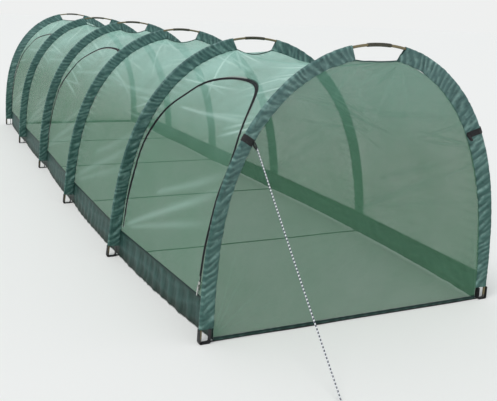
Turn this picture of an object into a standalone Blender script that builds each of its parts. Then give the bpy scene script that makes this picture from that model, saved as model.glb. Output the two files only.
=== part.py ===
"""Netting grow tunnel: sprung hoops in a sleeved net cover, with zipped doors down one side.

Sizes are in metres. +Z is up, the front hoop stands at -Y and the zipped side is at -X.
The origin is on the ground, midway between the two ends and between the feet.
"""

import math

import bmesh
import bpy
import numpy as np
from mathutils import Matrix
from mathutils.bvhtree import BVHTree

# Hoops: springy rods in two halves, whose feet are set a little unevenly along the tunnel
POLE_LENGTH = 2.16
POLE_RADIUS = 0.004
HOOP_SPANS = (1.02, 1.12, 1.115, 1.065, 1.045, 1.0)
BAY_LENGTH = 0.79
FERRULE_LENGTH = 0.08
FERRULE_WALL = 0.0011

# Clearances: between sewn or touching pieces, from a net's edge to its hoop's middle plane, and
# between pieces that slide
GAP = 0.0003
NET_EDGE_GAP = 0.0004
LOOSE_FIT = 0.0008

# Sleeves: a flat fin of gathered cloth that holds the rod in its outer edge
FIN_DEPTH = 0.038
SLEEVE_WALL = 0.0012
SLEEVE_LIFT = 0.04
SEAM_HALF = 0.0018
SEAM_DEPTH = 0.006
POCKET_EASE = 0.0004

# The pocket round the rod, in shares of its own half width: flat outside, widest near the rod
POCKET_FLAT = 0.52
POCKET_WIDEST_OUT = 0.1
POCKET_WIDEST = 1.08

# Crown windows: the gap in each sleeve where the bare rod shows, with a bound edge below it
WINDOW_HALF = 0.09
WINDOW_SLANT = 0.012
END_WINDOW_DIP = 0.010
INNER_WINDOW_DIP = 0.022
BINDING_HALF = 0.0015
BINDING_DEPTH = 0.0052
BINDING_OVERLAP = 0.0096

# Net cover and skirts
NET_THICKNESS = 0.0015
NET_BOW = 0.028
BOW_RISE = 0.35
SKIRT_HEIGHT = 0.10
SKIRT_BULGE = 0.010
SKIRT_THICKNESS = 0.0016
HEM_HEIGHT = 0.014
HEM_THICKNESS = 0.0024

# Ground cords and the webbing foot loops at their ends
CORD_RADIUS = 0.002
STRAP_THICKNESS = 0.0014
STRAP_HALF_WIDTH = 0.010
LOOP_INNER = 0.028

# Zipped doors, seen square on from the left side. The margins run from the planes of the two
# hoops to the zip's legs, so each door stands a little behind its bay's middle
DOOR_BAYS = (0, 2, 4)
DOOR_NAMES = ("front", "middle", "rear")
DOOR_FRONT_MARGIN = 0.107
DOOR_REAR_MARGIN = 0.023
DOOR_SILL = 0.115
DOOR_SHOULDER = 0.32
DOOR_TOP = 0.682
DOOR_ROUNDNESS = 2.8
DOOR_HINGE_GAP = 0.0005
DOOR_CUT = (-1.2, -0.03)

# Zips: two tapes with a groove between them, a slider that grips the cover's tape, and its pull
ZIP_HALF_WIDTH = 0.006
ZIP_GROOVE_HALF = 0.0012
ZIP_THICKNESS = 0.0036
FLAP_TAPE_START = 0.04
SLIDER_LENGTH = 0.022
SLIDER_HALF_WIDTH = 0.0057
SLIDER_PLATE = 0.0014
SLIDER_LIFT = 0.001
SLIDER_TRAVEL = 0.10
LUG_HALF_LENGTH = 0.0025
LUG_HEIGHT = 0.0045
PIN_RADIUS = 0.0008
PULL_LENGTH = 0.03
PULL_HALF_WIDTH = 0.004
PULL_TIP_HALF_WIDTH = 0.003
PULL_THICKNESS = 0.0015
PULL_SHOULDER = 0.009
FORK_DEPTH = 0.006

# Guy: a webbing band with a small loop round each front sleeve, and the rope on the left one
GUY_HEIGHT = 0.57
BAND_HALF_LENGTH = 0.010
BAND_END_HALF = 0.003
BAND_THICKNESS = 0.002
BAND_FACET_MARGIN = 0.019
RING_HALF_LENGTH = 0.0095
RING_DEPTH = 0.014
RING_WALL = 0.003
ROPE_RADIUS = 0.002
ROPE_END = (-0.318, -2.40)
ROPE_SAG = 0.003
ROPE_POINT_GAP = 0.012
KNOT_RADIUS = 0.0055
EYE_LENGTH = 0.034
EYE_HALF_WIDTH = 0.008
EYE_MIDDLE = 0.0033

# Facets
LEG_STEP = 0.15
SIDE_STEPS = 8
WINDOW_STEPS = 2
BAY_STEPS = 4
ROD_SIDES = 8
ROD_SUM_STEPS = 4001
ARCH_STEPS = 16
KNOT_STEPS = 5
EYE_STEPS = 14

# Worked out from the values above
HOOP_COUNT = len(HOOP_SPANS)
BAY_COUNT = HOOP_COUNT - 1
HALF_POLE = POLE_LENGTH / 2
HALF_LENGTH = BAY_LENGTH * BAY_COUNT / 2
FOOT_LIFT = STRAP_THICKNESS + 2 * GAP
WINDOW_INNER = WINDOW_HALF - WINDOW_SLANT
COVER_DROP = FIN_DEPTH + GAP
BORE_RADIUS = POLE_RADIUS + GAP
CORD_MIDDLE = CORD_RADIUS * math.cos(math.pi / ROD_SIDES) + GAP / 2
COVER_BOTTOM = 2 * CORD_MIDDLE + GAP
DOOR_HALF_WIDTH = (BAY_LENGTH - DOOR_FRONT_MARGIN - DOOR_REAR_MARGIN) / 2
KEEL_HALF_WIDTH = ZIP_GROOVE_HALF - GAP


def material(name, colour, roughness, metallic=0.0):
    """A plain finish: base colour, roughness and how metallic it is."""
    finish = bpy.data.materials.new(name)
    finish.use_nodes = True
    shader = finish.node_tree.nodes["Principled BSDF"]
    shader.inputs["Base Color"].default_value = (*colour, 1.0)
    shader.inputs["Roughness"].default_value = roughness
    shader.inputs["Metallic"].default_value = metallic
    return finish


def add_object(name, mesh, finish, smooth=False):
    """Put a mesh in the scene as one named piece."""
    mesh.name = name
    mesh.materials.clear()
    mesh.materials.append(finish)
    if smooth:
        mesh.shade_smooth()
        mesh.set_sharp_from_angle(angle=math.radians(50))
    piece = bpy.data.objects.new(name, mesh)
    bpy.context.collection.objects.link(piece)
    return piece


def move_origin(piece, point):
    """Put a piece's origin on its joint's axis without moving its shape."""
    piece.data.transform(Matrix.Translation([-value for value in point]))
    piece.location = point


def closed_mesh(points, faces):
    """A closed mesh from points and faces, with every face turned outwards."""
    mesh = bpy.data.meshes.new("shape")
    mesh.from_pydata([tuple(map(float, point)) for point in points], [], faces)
    work = bmesh.new()
    work.from_mesh(mesh)
    bmesh.ops.recalc_face_normals(work, faces=work.faces)
    work.to_mesh(mesh)
    work.free()
    return mesh


def combined(first, second, operation):
    """The two meshes joined, cut or crossed as closed solids."""
    pieces = []
    for mesh in (first, second):
        piece = bpy.data.objects.new("shape", mesh)
        bpy.context.collection.objects.link(piece)
        pieces.append(piece)
    cut = pieces[0].modifiers.new("cut", "BOOLEAN")
    cut.operation = operation
    cut.solver = "EXACT"
    cut.object = pieces[1]
    bpy.context.view_layer.update()
    graph = bpy.context.evaluated_depsgraph_get()
    result = bpy.data.meshes.new_from_object(pieces[0].evaluated_get(graph))
    for piece in pieces:
        bpy.data.objects.remove(piece)
    return result


def prism_mesh(outline, direction, low, high, origin, axes):
    """An outline of (a, b) points pushed along a direction from low to high.

    axes holds the two directions that a and b run along.
    """
    across, upward = (np.array(axis, float) for axis in axes)
    push = np.array(direction, float)
    base = np.array([np.array(origin) + a * across + b * upward for a, b in outline])
    points = np.concatenate([base + low * push, base + high * push])
    count = len(outline)
    faces = [tuple(range(count)), tuple(range(2 * count - 1, count - 1, -1))]
    for index in range(count):
        following = (index + 1) % count
        faces.append((following, index, count + index, count + following))
    return closed_mesh(points, faces)


def shell_mesh(outer, inner):
    """A closed thin wall between two grids of points, the same cells cut the same way."""
    rows, columns = outer.shape[:2]
    count = rows * columns
    points = np.concatenate([outer.reshape(-1, 3), inner.reshape(-1, 3)])
    faces = []
    for row in range(rows - 1):
        for column in range(columns - 1):
            a = row * columns + column
            b = a + columns
            for triangle in ((a, a + 1, b + 1), (a, b + 1, b)):
                faces.append(triangle)
                faces.append(tuple(count + corner for corner in reversed(triangle)))
    rim = list(range(columns))
    rim += [row * columns + columns - 1 for row in range(1, rows)]
    rim += [(rows - 1) * columns + column for column in range(columns - 2, -1, -1)]
    rim += [row * columns for row in range(rows - 2, 0, -1)]
    for here, after in zip(rim, rim[1:] + rim[:1]):
        faces.append((after, here, count + here, count + after))
    return closed_mesh(points, faces)


def ring_sweep(rings):
    """The points and faces of a solid bar through rings of points, capped at both ends."""
    sides = len(rings[0])
    points = np.concatenate(rings)
    faces = []
    for step in range(len(rings) - 1):
        start = step * sides
        for side in range(sides):
            a = start + side
            b = start + (side + 1) % sides
            faces.append((a, b, b + sides, a + sides))
    last = (len(rings) - 1) * sides
    faces.append(tuple(reversed(range(sides))))
    faces.append(tuple(last + side for side in range(sides)))
    return points, faces


# The bent rod
# A springy rod whose feet are free to turn takes the curve of a bent spring. With k its
# modulus and p running from 0 at the crown to a right angle at the foot, the distance along
# it is u(p), its half-width is 2 e(p) - u(p) and its height is k cos(p), all times its half
# length over u at the foot, where u and e sum 1 / r and r over p, and r = sqrt(1 - k2 sin2 p).


def rod_sums(modulus):
    """The steps of p with the running sums u and e for one modulus."""
    turn = np.linspace(0, math.pi / 2, ROD_SUM_STEPS)
    root = np.sqrt(1 - (modulus * np.sin(turn)) ** 2)
    step = turn[1]
    u = np.concatenate([[0], np.cumsum((1 / root[1:] + 1 / root[:-1]) / 2) * step])
    e = np.concatenate([[0], np.cumsum((root[1:] + root[:-1]) / 2) * step])
    return turn, root, u, e


def bent_rod(span):
    """Distance, place and outward direction along one half of a rod with feet span apart."""
    low, high = 0.05, 0.95
    for _ in range(50):
        modulus = (low + high) / 2
        turn, root, u, e = rod_sums(modulus)
        if 2 * e[-1] / u[-1] - 1 > span / POLE_LENGTH:
            low = modulus
        else:
            high = modulus
    size = HALF_POLE / u[-1]
    return {
        "along": u * size,
        "x": (2 * e - u) * size,
        "z": 2 * modulus * np.cos(turn) * size + FOOT_LIFT,
        "out_x": 2 * modulus * np.sin(turn) * root,
        "out_z": 1 - 2 * (modulus * np.sin(turn)) ** 2,
    }


RODS = [bent_rod(span) for span in HOOP_SPANS]


def hoop_y(hoop):
    """Where a hoop stands along the tunnel, counted from 0 at the front."""
    return hoop * BAY_LENGTH - HALF_LENGTH


def door_middle(bay):
    """Where the middle of a bay's door stands along the tunnel."""
    return hoop_y(bay) + DOOR_FRONT_MARGIN + DOOR_HALF_WIDTH


def rod_frame(hoop, s):
    """Centre line and outward direction of a hoop at s from its crown, left negative."""
    rod = RODS[hoop]
    side = -1.0 if s < 0 else 1.0
    distance = abs(s)
    place = np.array(
        [
            side * np.interp(distance, rod["along"], rod["x"]),
            hoop_y(hoop),
            np.interp(distance, rod["along"], rod["z"]),
        ]
    )
    outward = np.array(
        [
            side * np.interp(distance, rod["along"], rod["out_x"]),
            0.0,
            np.interp(distance, rod["along"], rod["out_z"]),
        ]
    )
    return place, outward


def offset_point(hoop, s, outward_by, y_by=0.0):
    """A point off a hoop's centre line, in its own plane and along the tunnel."""
    place, outward = rod_frame(hoop, s)
    return place + outward * outward_by + np.array([0.0, y_by, 0.0])


# Stations along half a hoop, from its crown to its foot, shared by rods, sleeves and net,
# so that their facets lie side by side. The last one before the skirt is a long step, on
# which the zips' sliders run.
SLEEVE_END = HALF_POLE - SLEEVE_LIFT
NET_END = HALF_POLE - SKIRT_HEIGHT
SIDE_STEP = (NET_END - LEG_STEP - WINDOW_HALF) / SIDE_STEPS
WINDOW_STATIONS = [WINDOW_INNER * step / WINDOW_STEPS for step in range(WINDOW_STEPS + 1)]
SIDE_STATIONS = [WINDOW_HALF + SIDE_STEP * step for step in range(SIDE_STEPS + 1)] + [NET_END]

# Parts of a bay, from one hoop to the next, with a line of facets at each leg of the doors
NET_WIDTH = BAY_LENGTH - 2 * NET_EDGE_GAP
DOOR_EDGE = (DOOR_FRONT_MARGIN - NET_EDGE_GAP) / NET_WIDTH
DOOR_STEP = 2 * DOOR_HALF_WIDTH / NET_WIDTH / BAY_STEPS
BAY_PARTS = [0.0] + [DOOR_EDGE + DOOR_STEP * step for step in range(BAY_STEPS + 1)] + [1.0]


def both_sides(stations):
    """Stations from the left foot over the crown to the right foot."""
    return [-s for s in reversed(stations) if s > 0] + list(stations)


def window_dip(hoop, s):
    """How far the bound edge hangs below the fins' inner line under a crown window."""
    if abs(s) >= WINDOW_INNER:
        return 0.0
    depth = END_WINDOW_DIP if hoop in (0, HOOP_COUNT - 1) else INNER_WINDOW_DIP
    return depth * (1 - (s / WINDOW_INNER) ** 2)


# Poles: two springy rods a hoop, plugged into a steel ferrule at the crown


def pole_half_mesh(hoop, side):
    """Half a hoop's rod, from the crown joint to the foot."""
    stations = [GAP / 2, FERRULE_LENGTH / 2] + SIDE_STATIONS + [SLEEVE_END, HALF_POLE]
    rings = []
    for s in stations:
        ring = []
        for step in range(ROD_SIDES):
            angle = 2 * math.pi * (step + 0.5) / ROD_SIDES
            across = POLE_RADIUS * math.sin(angle) * side
            ring.append(offset_point(hoop, side * s, POLE_RADIUS * math.cos(angle), across))
        rings.append(ring)
    return closed_mesh(*ring_sweep(rings))


def ferrule_mesh(hoop):
    """The tube that joins a hoop's two rods at its crown."""
    stations = both_sides([0.0, FERRULE_LENGTH / 2])
    loops = []
    for radius in (BORE_RADIUS, BORE_RADIUS + FERRULE_WALL):
        for s in stations:
            loop = []
            for step in range(ROD_SIDES):
                angle = 2 * math.pi * (step + 0.5) / ROD_SIDES
                across = radius * math.sin(angle)
                loop.append(offset_point(hoop, s, radius * math.cos(angle), across))
            loops.append(loop)
    count = len(stations)
    order = list(range(count)) + list(range(2 * count - 1, count - 1, -1)) + [0]
    points = np.concatenate(loops)
    faces = []
    for here, after in zip(order, order[1:]):
        for side in range(ROD_SIDES):
            following = (side + 1) % ROD_SIDES
            a = here * ROD_SIDES + side
            b = here * ROD_SIDES + following
            faces.append((b, a, after * ROD_SIDES + side, after * ROD_SIDES + following))
    return closed_mesh(points, faces)


def make_poles():
    """The rods and ferrules of every hoop."""
    glass_rod = material("pole_rod", (0.36, 0.29, 0.15), 0.45)
    steel = material("pole_ferrule", (0.16, 0.15, 0.12), 0.4, 0.9)
    for hoop in range(HOOP_COUNT):
        number = hoop + 1
        for side, word in ((-1, "left"), (1, "right")):
            mesh = pole_half_mesh(hoop, side)
            add_object(f"{word}_pole_{number}", mesh, glass_rod, smooth=True)
        add_object(f"pole_ferrule_{number}", ferrule_mesh(hoop), steel, smooth=True)


# Sleeves: seen along the rod, a teardrop of cloth closed by a flat seam at its inner edge


def sleeve_section():
    """Half outlines of the cloth and of the pocket in it, as (outward, across) points."""
    room = POLE_RADIUS + POCKET_EASE
    flat = POCKET_FLAT * room
    widest = (POCKET_WIDEST_OUT * room, POCKET_WIDEST * room)
    pocket = [(room, flat), widest]
    pocket.append((SEAM_DEPTH + SLEEVE_WALL - FIN_DEPTH, SLEEVE_WALL / 2))
    cloth = [
        (room + SLEEVE_WALL, flat + SLEEVE_WALL / 2),
        (widest[0] + SLEEVE_WALL / 3, widest[1] + SLEEVE_WALL),
        (-FIN_DEPTH, SEAM_HALF),
    ]
    return cloth, pocket


def mirrored(half):
    """A half outline followed by its mirror image, as one closed loop."""
    return half + [(outward, -across) for outward, across in reversed(half)]


def half_sleeve_mesh(hoop, side):
    """One side of a hoop's sleeve, from the crown window to just above the foot."""
    cloth, pocket = (mirrored(half) for half in sleeve_section())
    loop = cloth + pocket
    rings = []
    for s in SIDE_STATIONS + [SLEEVE_END]:
        ring = []
        for outward, across in loop:
            slant = 0.0
            if s == WINDOW_HALF:
                slant = WINDOW_SLANT * min(outward, 0.0) / FIN_DEPTH
            ring.append(offset_point(hoop, side * (s + slant), outward, across * side))
        rings.append(ring)
    points = np.concatenate(rings)
    size = len(loop)
    outer = len(cloth)
    faces = []
    for step in range(len(rings) - 1):
        start = step * size
        for index in range(outer):
            a = start + index
            b = start + (index + 1) % outer
            faces.append((a, b, b + size, a + size))
        for index in range(size - outer):
            a = start + outer + index
            b = start + outer + (index + 1) % (size - outer)
            faces.append((b, a, a + size, b + size))
    last = (len(rings) - 1) * size
    for index in range(outer):
        after = (index + 1) % outer
        face = (index, after, outer + after, outer + index)
        faces.append(face)
        faces.append(tuple(last + corner for corner in face))
    return closed_mesh(points, faces)


def binding_mesh(hoop):
    """The bound edge that runs on from one fin's seam to the other below the window."""
    middle = SEAM_DEPTH / 2 - FIN_DEPTH
    reach = WINDOW_INNER + BINDING_OVERLAP
    stations = both_sides(WINDOW_STATIONS[:-1] + [WINDOW_INNER, reach])
    rings = []
    for s in stations:
        centre = middle - window_dip(hoop, s)
        low = centre - BINDING_DEPTH / 2
        high = centre + BINDING_DEPTH / 2
        ring = []
        for outward, across in ((low, -1), (high, -1), (high, 1), (low, 1)):
            ring.append(offset_point(hoop, s, outward, across * BINDING_HALF))
        rings.append(ring)
    return closed_mesh(*ring_sweep(rings))


def make_sleeves():
    """Each hoop's sleeve: two halves held together by the bound edge of the window."""
    cloth = material("sleeve_cloth", (0.045, 0.105, 0.125), 0.5)
    for hoop in range(HOOP_COUNT):
        mesh = combined(half_sleeve_mesh(hoop, -1), binding_mesh(hoop), "UNION")
        mesh = combined(mesh, half_sleeve_mesh(hoop, 1), "UNION")
        add_object(f"pole_sleeve_{hoop + 1}", mesh, cloth)


# Net cover: each bay's net is stretched from fin to fin and draws in a little between them


def cover_edge(hoop, s, on_ground=False):
    """Outer face of the cloth where it is sewn to a hoop's fin."""
    point = offset_point(hoop, s, -COVER_DROP - window_dip(hoop, s))
    outward = rod_frame(hoop, s)[1]
    if on_ground:
        down = np.array([abs(outward[2]) * np.sign(s), 0.0, -abs(outward[0])])
        point = point + down * (point[2] - COVER_BOTTOM) / abs(outward[0])
    return point


def bow(s):
    """How far the cloth lies inside the straight line between two hoops, at mid-bay."""
    height = HALF_POLE - abs(s)
    if height < SKIRT_HEIGHT:
        return -SKIRT_BULGE * (1 - height / SKIRT_HEIGHT)
    rise = min((height - SKIRT_HEIGHT) / BOW_RISE, 1.0)
    return NET_BOW * rise * rise * (3 - 2 * rise)


def cover_point(bay, s, t, inset=0.0, on_ground=False, edge_gap=NET_EDGE_GAP):
    """A point of the cover, s from the crown and t of the way from one hoop to the next.

    It is the straight mix of the two fins' edges, moved inwards by the bow times
    4 t (1 - t), and by inset.
    """
    near = cover_edge(bay, s, on_ground)
    far = cover_edge(bay + 1, s, on_ground)
    point = near * (1 - t) + far * t
    inward = -(rod_frame(bay, s)[1] + rod_frame(bay + 1, s)[1])
    inward /= np.linalg.norm(inward)
    if on_ground:
        inward = np.array([np.sign(inward[0]), 0.0, 0.0])
    point = point + inward * (4 * t * (1 - t) * bow(s) + inset)
    point[1] = hoop_y(bay) + edge_gap + t * (BAY_LENGTH - 2 * edge_gap)
    return point


def bay_shell(bay, outset, thickness):
    """The net of one bay as a thin wall, from one skirt over the top to the other."""
    stations = both_sides(WINDOW_STATIONS + SIDE_STATIONS[1:-1] + [NET_END - GAP])
    grids = []
    for inset in (-outset, thickness - outset):
        rows = [[cover_point(bay, s, t, inset) for t in BAY_PARTS] for s in stations]
        grids.append(np.array(rows))
    return shell_mesh(*grids)


# Doors: a flap cut out of the net by the zip, which is hinged along its lower edge


def door_outline(offset, sill):
    """A door's edge as seen from the side: straight legs under a rounded arch.

    The arch is a superellipse: its two parts, each to the power of the roundness, sum to 1.
    """
    half = DOOR_HALF_WIDTH + offset
    rise = DOOR_TOP - DOOR_SHOULDER + offset
    power = 2 / DOOR_ROUNDNESS
    outline = [(-half, sill), (half, sill)]
    for step in range(ARCH_STEPS + 1):
        angle = math.pi * step / ARCH_STEPS
        across = half * abs(math.cos(angle)) ** power * (1 if step * 2 <= ARCH_STEPS else -1)
        outline.append((across, DOOR_SHOULDER + rise * math.sin(angle) ** power))
    return outline


def door_prism(bay, offset, sill):
    """The door's outline pushed through the left side of the cover."""
    outline = door_outline(offset, sill)
    origin = (0.0, door_middle(bay), 0.0)
    axes = ((0, 1, 0), (0, 0, 1))
    return prism_mesh(outline, (1, 0, 0), *DOOR_CUT, origin, axes)


def cover_at(bay, y, z):
    """The point of the net's outer face on the left side at a given place and height."""
    mesh = bay_shell(bay, 0.0, NET_THICKNESS)
    corners = [vertex.co for vertex in mesh.vertices]
    tree = BVHTree.FromPolygons(corners, [list(face.vertices) for face in mesh.polygons])
    point = tree.ray_cast((DOOR_CUT[0], y, z), (1, 0, 0))[0]
    return np.array(point)


def door_hinge(bay):
    """The two ends of the line that a door's flap turns about, its outer lower edge."""
    middle = door_middle(bay)
    reach = DOOR_HALF_WIDTH - 2 * ZIP_HALF_WIDTH
    sill = DOOR_SILL + 2 * DOOR_HINGE_GAP
    return cover_at(bay, middle - reach, sill), cover_at(bay, middle + reach, sill)


def make_bays():
    """The five nets, and in every second bay the door flap and the zip's two tapes."""
    net = material("net", (0.16, 0.31, 0.24), 0.7)
    tape = material("zip_tape", (0.012, 0.014, 0.018), 0.55)
    proud = (ZIP_THICKNESS - NET_THICKNESS) / 2
    beyond = ZIP_HALF_WIDTH + GAP
    below = DOOR_SILL / 2
    for bay in range(BAY_COUNT):
        wall = bay_shell(bay, 0.0, NET_THICKNESS)
        if bay not in DOOR_BAYS:
            add_object(f"net_bay_{bay + 1}", wall, net)
            continue
        door = DOOR_NAMES[DOOR_BAYS.index(bay)]
        cut = combined(wall.copy(), door_prism(bay, beyond, DOOR_SILL), "DIFFERENCE")
        add_object(f"net_bay_{bay + 1}", cut, net)
        band = door_prism(bay, -beyond, DOOR_SILL + DOOR_HINGE_GAP)
        flap = add_object(f"{door}_door_flap", combined(wall, band, "INTERSECT"), net)
        thick = bay_shell(bay, proud, ZIP_THICKNESS)
        band = door_prism(bay, ZIP_HALF_WIDTH, DOOR_SILL + GAP)
        frame_tape = combined(thick.copy(), band, "INTERSECT")
        hole = door_prism(bay, ZIP_GROOVE_HALF, below)
        frame_tape = combined(frame_tape, hole, "DIFFERENCE")
        add_object(f"{door}_zip_frame_tape", frame_tape, tape)
        band = door_prism(bay, -ZIP_GROOVE_HALF, DOOR_SILL + FLAP_TAPE_START)
        flap_tape = combined(thick, band, "INTERSECT")
        hole = door_prism(bay, -ZIP_HALF_WIDTH, below)
        flap_tape = combined(flap_tape, hole, "DIFFERENCE")
        flap_tape = add_object(f"{door}_zip_flap_tape", flap_tape, tape)
        hinge = sum(door_hinge(bay)) / 2
        move_origin(flap, hinge)
        move_origin(flap_tape, hinge)


# Zip sliders and pulls: each slider stands at the foot of its zip's front leg


def zip_frame(bay):
    """Centre of a slider on the middle of its tapes, with the ways up, across and out."""
    y = door_middle(bay) - DOOR_HALF_WIDTH
    z = DOOR_SILL + SLIDER_LIFT + SLIDER_LENGTH / 2
    foot = cover_at(bay, y, z)
    top = cover_at(bay, y, z + SLIDER_TRAVEL)
    up = (top - foot) / np.linalg.norm(top - foot)
    across = np.array([0.0, 1.0, 0.0])
    out = np.cross(up, across)
    out *= -np.sign(out[0])
    return foot - out * NET_THICKNESS / 2, up, across, out


def slider_mesh(bay):
    """A plate over both tapes, joined by a keel to one under the cover's tape, and a lug."""
    centre, up, across, out = zip_frame(bay)
    inner = ZIP_THICKNESS / 2 + LOOSE_FIT
    outer = inner + SLIDER_PLATE
    keel = KEEL_HALF_WIDTH
    half = SLIDER_HALF_WIDTH
    quarter = [(keel, inner), (half, inner), (half, outer)]
    outline = quarter + [(-a, b) for a, b in reversed(quarter)]
    outline += [(-keel, -inner), (-half, -inner), (-half, -outer), (keel, -outer)]
    length = SLIDER_LENGTH / 2
    body = prism_mesh(outline, up, -length, length, centre, (across, out))
    low = -SLIDER_PLATE / 2 - LUG_HEIGHT / 2
    high = LUG_HEIGHT / 2
    end = LUG_HALF_LENGTH
    lug_outline = [(-end, low), (end, low), (end, high), (-end, high)]
    axis = centre + out * (outer + LUG_HEIGHT / 2)
    lug = prism_mesh(lug_outline, across, -keel, keel, axis, (up, out))
    hole = prism_mesh(octagon(PIN_RADIUS + GAP), across, -2 * keel, 2 * keel, axis, (up, out))
    lug = combined(lug, hole, "DIFFERENCE")
    return combined(body, lug, "UNION")


def octagon(radius):
    """The corners of an eight-sided outline."""
    corners = []
    for step in range(ROD_SIDES):
        angle = 2 * math.pi * (step + 0.5) / ROD_SIDES
        corners.append((radius * math.cos(angle), radius * math.sin(angle)))
    return corners


def pull_axis(bay):
    """Where a pull turns: through the middle of its slider's lug."""
    centre, up, across, out = zip_frame(bay)
    plate = ZIP_THICKNESS / 2 + LOOSE_FIT + SLIDER_PLATE
    return centre + out * (plate + LUG_HEIGHT / 2), up, across, out


def pull_mesh(bay):
    """A forked tongue that hangs from the lug, on a pin between its two prongs."""
    centre, up, across, out = pull_axis(bay)
    prong = KEEL_HALF_WIDTH + GAP
    half_outline = [
        (prong, -FORK_DEPTH),
        (prong, PULL_THICKNESS),
        (PULL_HALF_WIDTH, PULL_THICKNESS),
        (PULL_HALF_WIDTH, -PULL_SHOULDER),
        (PULL_TIP_HALF_WIDTH, -PULL_LENGTH),
    ]
    outline = half_outline + [(-a, b) for a, b in reversed(half_outline)]
    half = PULL_THICKNESS / 2
    tongue = prism_mesh(outline, out, -half, half, centre, (across, up))
    reach = (prong + PULL_HALF_WIDTH) / 2
    pin = prism_mesh(octagon(PIN_RADIUS), across, -reach, reach, centre, (up, out))
    return combined(tongue, pin, "UNION")


def make_sliders():
    """The slider and pull of every door."""
    zinc = material("zip_slider", (0.55, 0.56, 0.55), 0.3, 1.0)
    for bay, door in zip(DOOR_BAYS, DOOR_NAMES):
        slider = add_object(f"{door}_zip_slider", slider_mesh(bay), zinc)
        move_origin(slider, zip_frame(bay)[0])
        pull = add_object(f"{door}_zip_pull", pull_mesh(bay), zinc)
        move_origin(pull, pull_axis(bay)[0])


# Skirts: a strip of woven cloth along each side, from the net down to the ground cords


def skirt_mesh(side):
    """One skirt, the whole length of the tunnel."""
    heights = (SKIRT_HEIGHT, SKIRT_HEIGHT / 2, 0.0)
    grids = []
    for inset in (0.0, SKIRT_THICKNESS):
        columns = []
        for bay in range(BAY_COUNT):
            parts = BAY_PARTS if bay == BAY_COUNT - 1 else BAY_PARTS[:-1]
            for t in parts:
                column = []
                for height in heights:
                    s = side * (HALF_POLE - height)
                    column.append(cover_point(bay, s, t, inset, height == 0.0, 0.0))
                columns.append(column)
        columns = np.array(columns)
        columns[0, :, 1] += NET_EDGE_GAP
        columns[-1, :, 1] -= NET_EDGE_GAP
        grids.append(columns if side < 0 else columns[::-1])
    return shell_mesh(*grids)


def make_skirts():
    """The skirts of both sides."""
    woven = material("skirt_cloth", (0.05, 0.12, 0.115), 0.55)
    for side, word in ((-1, "left"), (1, "right")):
        add_object(f"{word}_skirt", skirt_mesh(side), woven)


# Ends: a flat net across each end hoop, over a woven hem on the ground


def skirt_corner(hoop, height):
    """The fin's edge at a height within the skirt, as an (x, z) point on the right-hand side."""
    ground = cover_edge(hoop, HALF_POLE, on_ground=True)
    top = cover_edge(hoop, NET_END)
    share = (height - ground[2]) / (top[2] - ground[2])
    return ground[0] + (top[0] - ground[0]) * share, height


def end_net_outline(hoop):
    """The inside of an end hoop's fin, cut off straight just above the hem."""
    half = []
    for s in WINDOW_STATIONS + SIDE_STATIONS[1:]:
        point = cover_edge(hoop, s)
        half.append((point[0], point[2]))
    half.append(skirt_corner(hoop, HEM_HEIGHT + GAP))
    return half + [(-x, z) for x, z in reversed(half[1:])]


def hem_outline(hoop):
    """The straight strip below an end net, down to just above the ground cord."""
    low = skirt_corner(hoop, COVER_BOTTOM)
    high = skirt_corner(hoop, HEM_HEIGHT)
    return [(-low[0], low[1]), low, high, (-high[0], high[1])]


def end_wall(hoop, way, outline, thickness):
    """An upright wall outside an end hoop; way is -1 at the front end and 1 at the rear."""
    y = hoop_y(hoop) + way * NET_EDGE_GAP
    low, high = sorted((0.0, way * thickness))
    return prism_mesh(outline, (0, 1, 0), low, high, (0, y, 0), ((1, 0, 0), (0, 0, 1)))


def make_ends():
    """The net and the hem of both ends."""
    net = bpy.data.materials["net"]
    woven = bpy.data.materials["skirt_cloth"]
    for hoop, word, way in ((0, "front", -1), (HOOP_COUNT - 1, "rear", 1)):
        wall = end_wall(hoop, way, end_net_outline(hoop), NET_THICKNESS)
        add_object(f"{word}_end_net", wall, net)
        wall = end_wall(hoop, way, hem_outline(hoop), HEM_THICKNESS)
        add_object(f"{word}_hem", wall, woven)


# Ground cords: one between the two feet of each hoop, ending in the webbing foot loops


def foot_loop_outline(hoop):
    """The right-hand loop as (x, z) points: a strap under the rod, up to the sleeve's end."""
    foot = rod_frame(hoop, HALF_POLE)[0][0]
    outer = POLE_RADIUS + POCKET_EASE + SLEEVE_WALL

    def under_sleeve(outward):
        point = offset_point(hoop, SLEEVE_END + GAP, outward)
        return (point[0], point[2])

    return [
        under_sleeve(outer),
        (foot + outer, 0.0),
        (foot - LOOP_INNER, 0.0),
        under_sleeve(-LOOP_INNER),
        under_sleeve(STRAP_THICKNESS - LOOP_INNER),
        (foot - LOOP_INNER + STRAP_THICKNESS, STRAP_THICKNESS),
        (foot + outer - STRAP_THICKNESS, STRAP_THICKNESS),
        under_sleeve(outer - STRAP_THICKNESS),
    ]


def ground_cord_mesh(hoop):
    """The cord along the ground with a foot loop joined on at each end."""
    axes = ((1, 0, 0), (0, 0, 1))
    origin = (0.0, hoop_y(hoop), 0.0)
    half = STRAP_HALF_WIDTH
    right = foot_loop_outline(hoop)
    left = [(-x, z) for x, z in right]
    reach = right[2][0] + STRAP_THICKNESS / 2
    rings = []
    for x in np.linspace(-reach, reach, 3):
        ring = []
        for step in range(ROD_SIDES):
            angle = 2 * math.pi * (step + 0.5) / ROD_SIDES
            y = hoop_y(hoop) + CORD_RADIUS * math.cos(angle)
            ring.append((x, y, CORD_MIDDLE + CORD_RADIUS * math.sin(angle)))
        rings.append(ring)
    mesh = closed_mesh(*ring_sweep(rings))
    for outline in (left, right):
        loop = prism_mesh(outline, (0, 1, 0), -half, half, origin, axes)
        mesh = combined(mesh, loop, "UNION")
    return mesh


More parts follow.
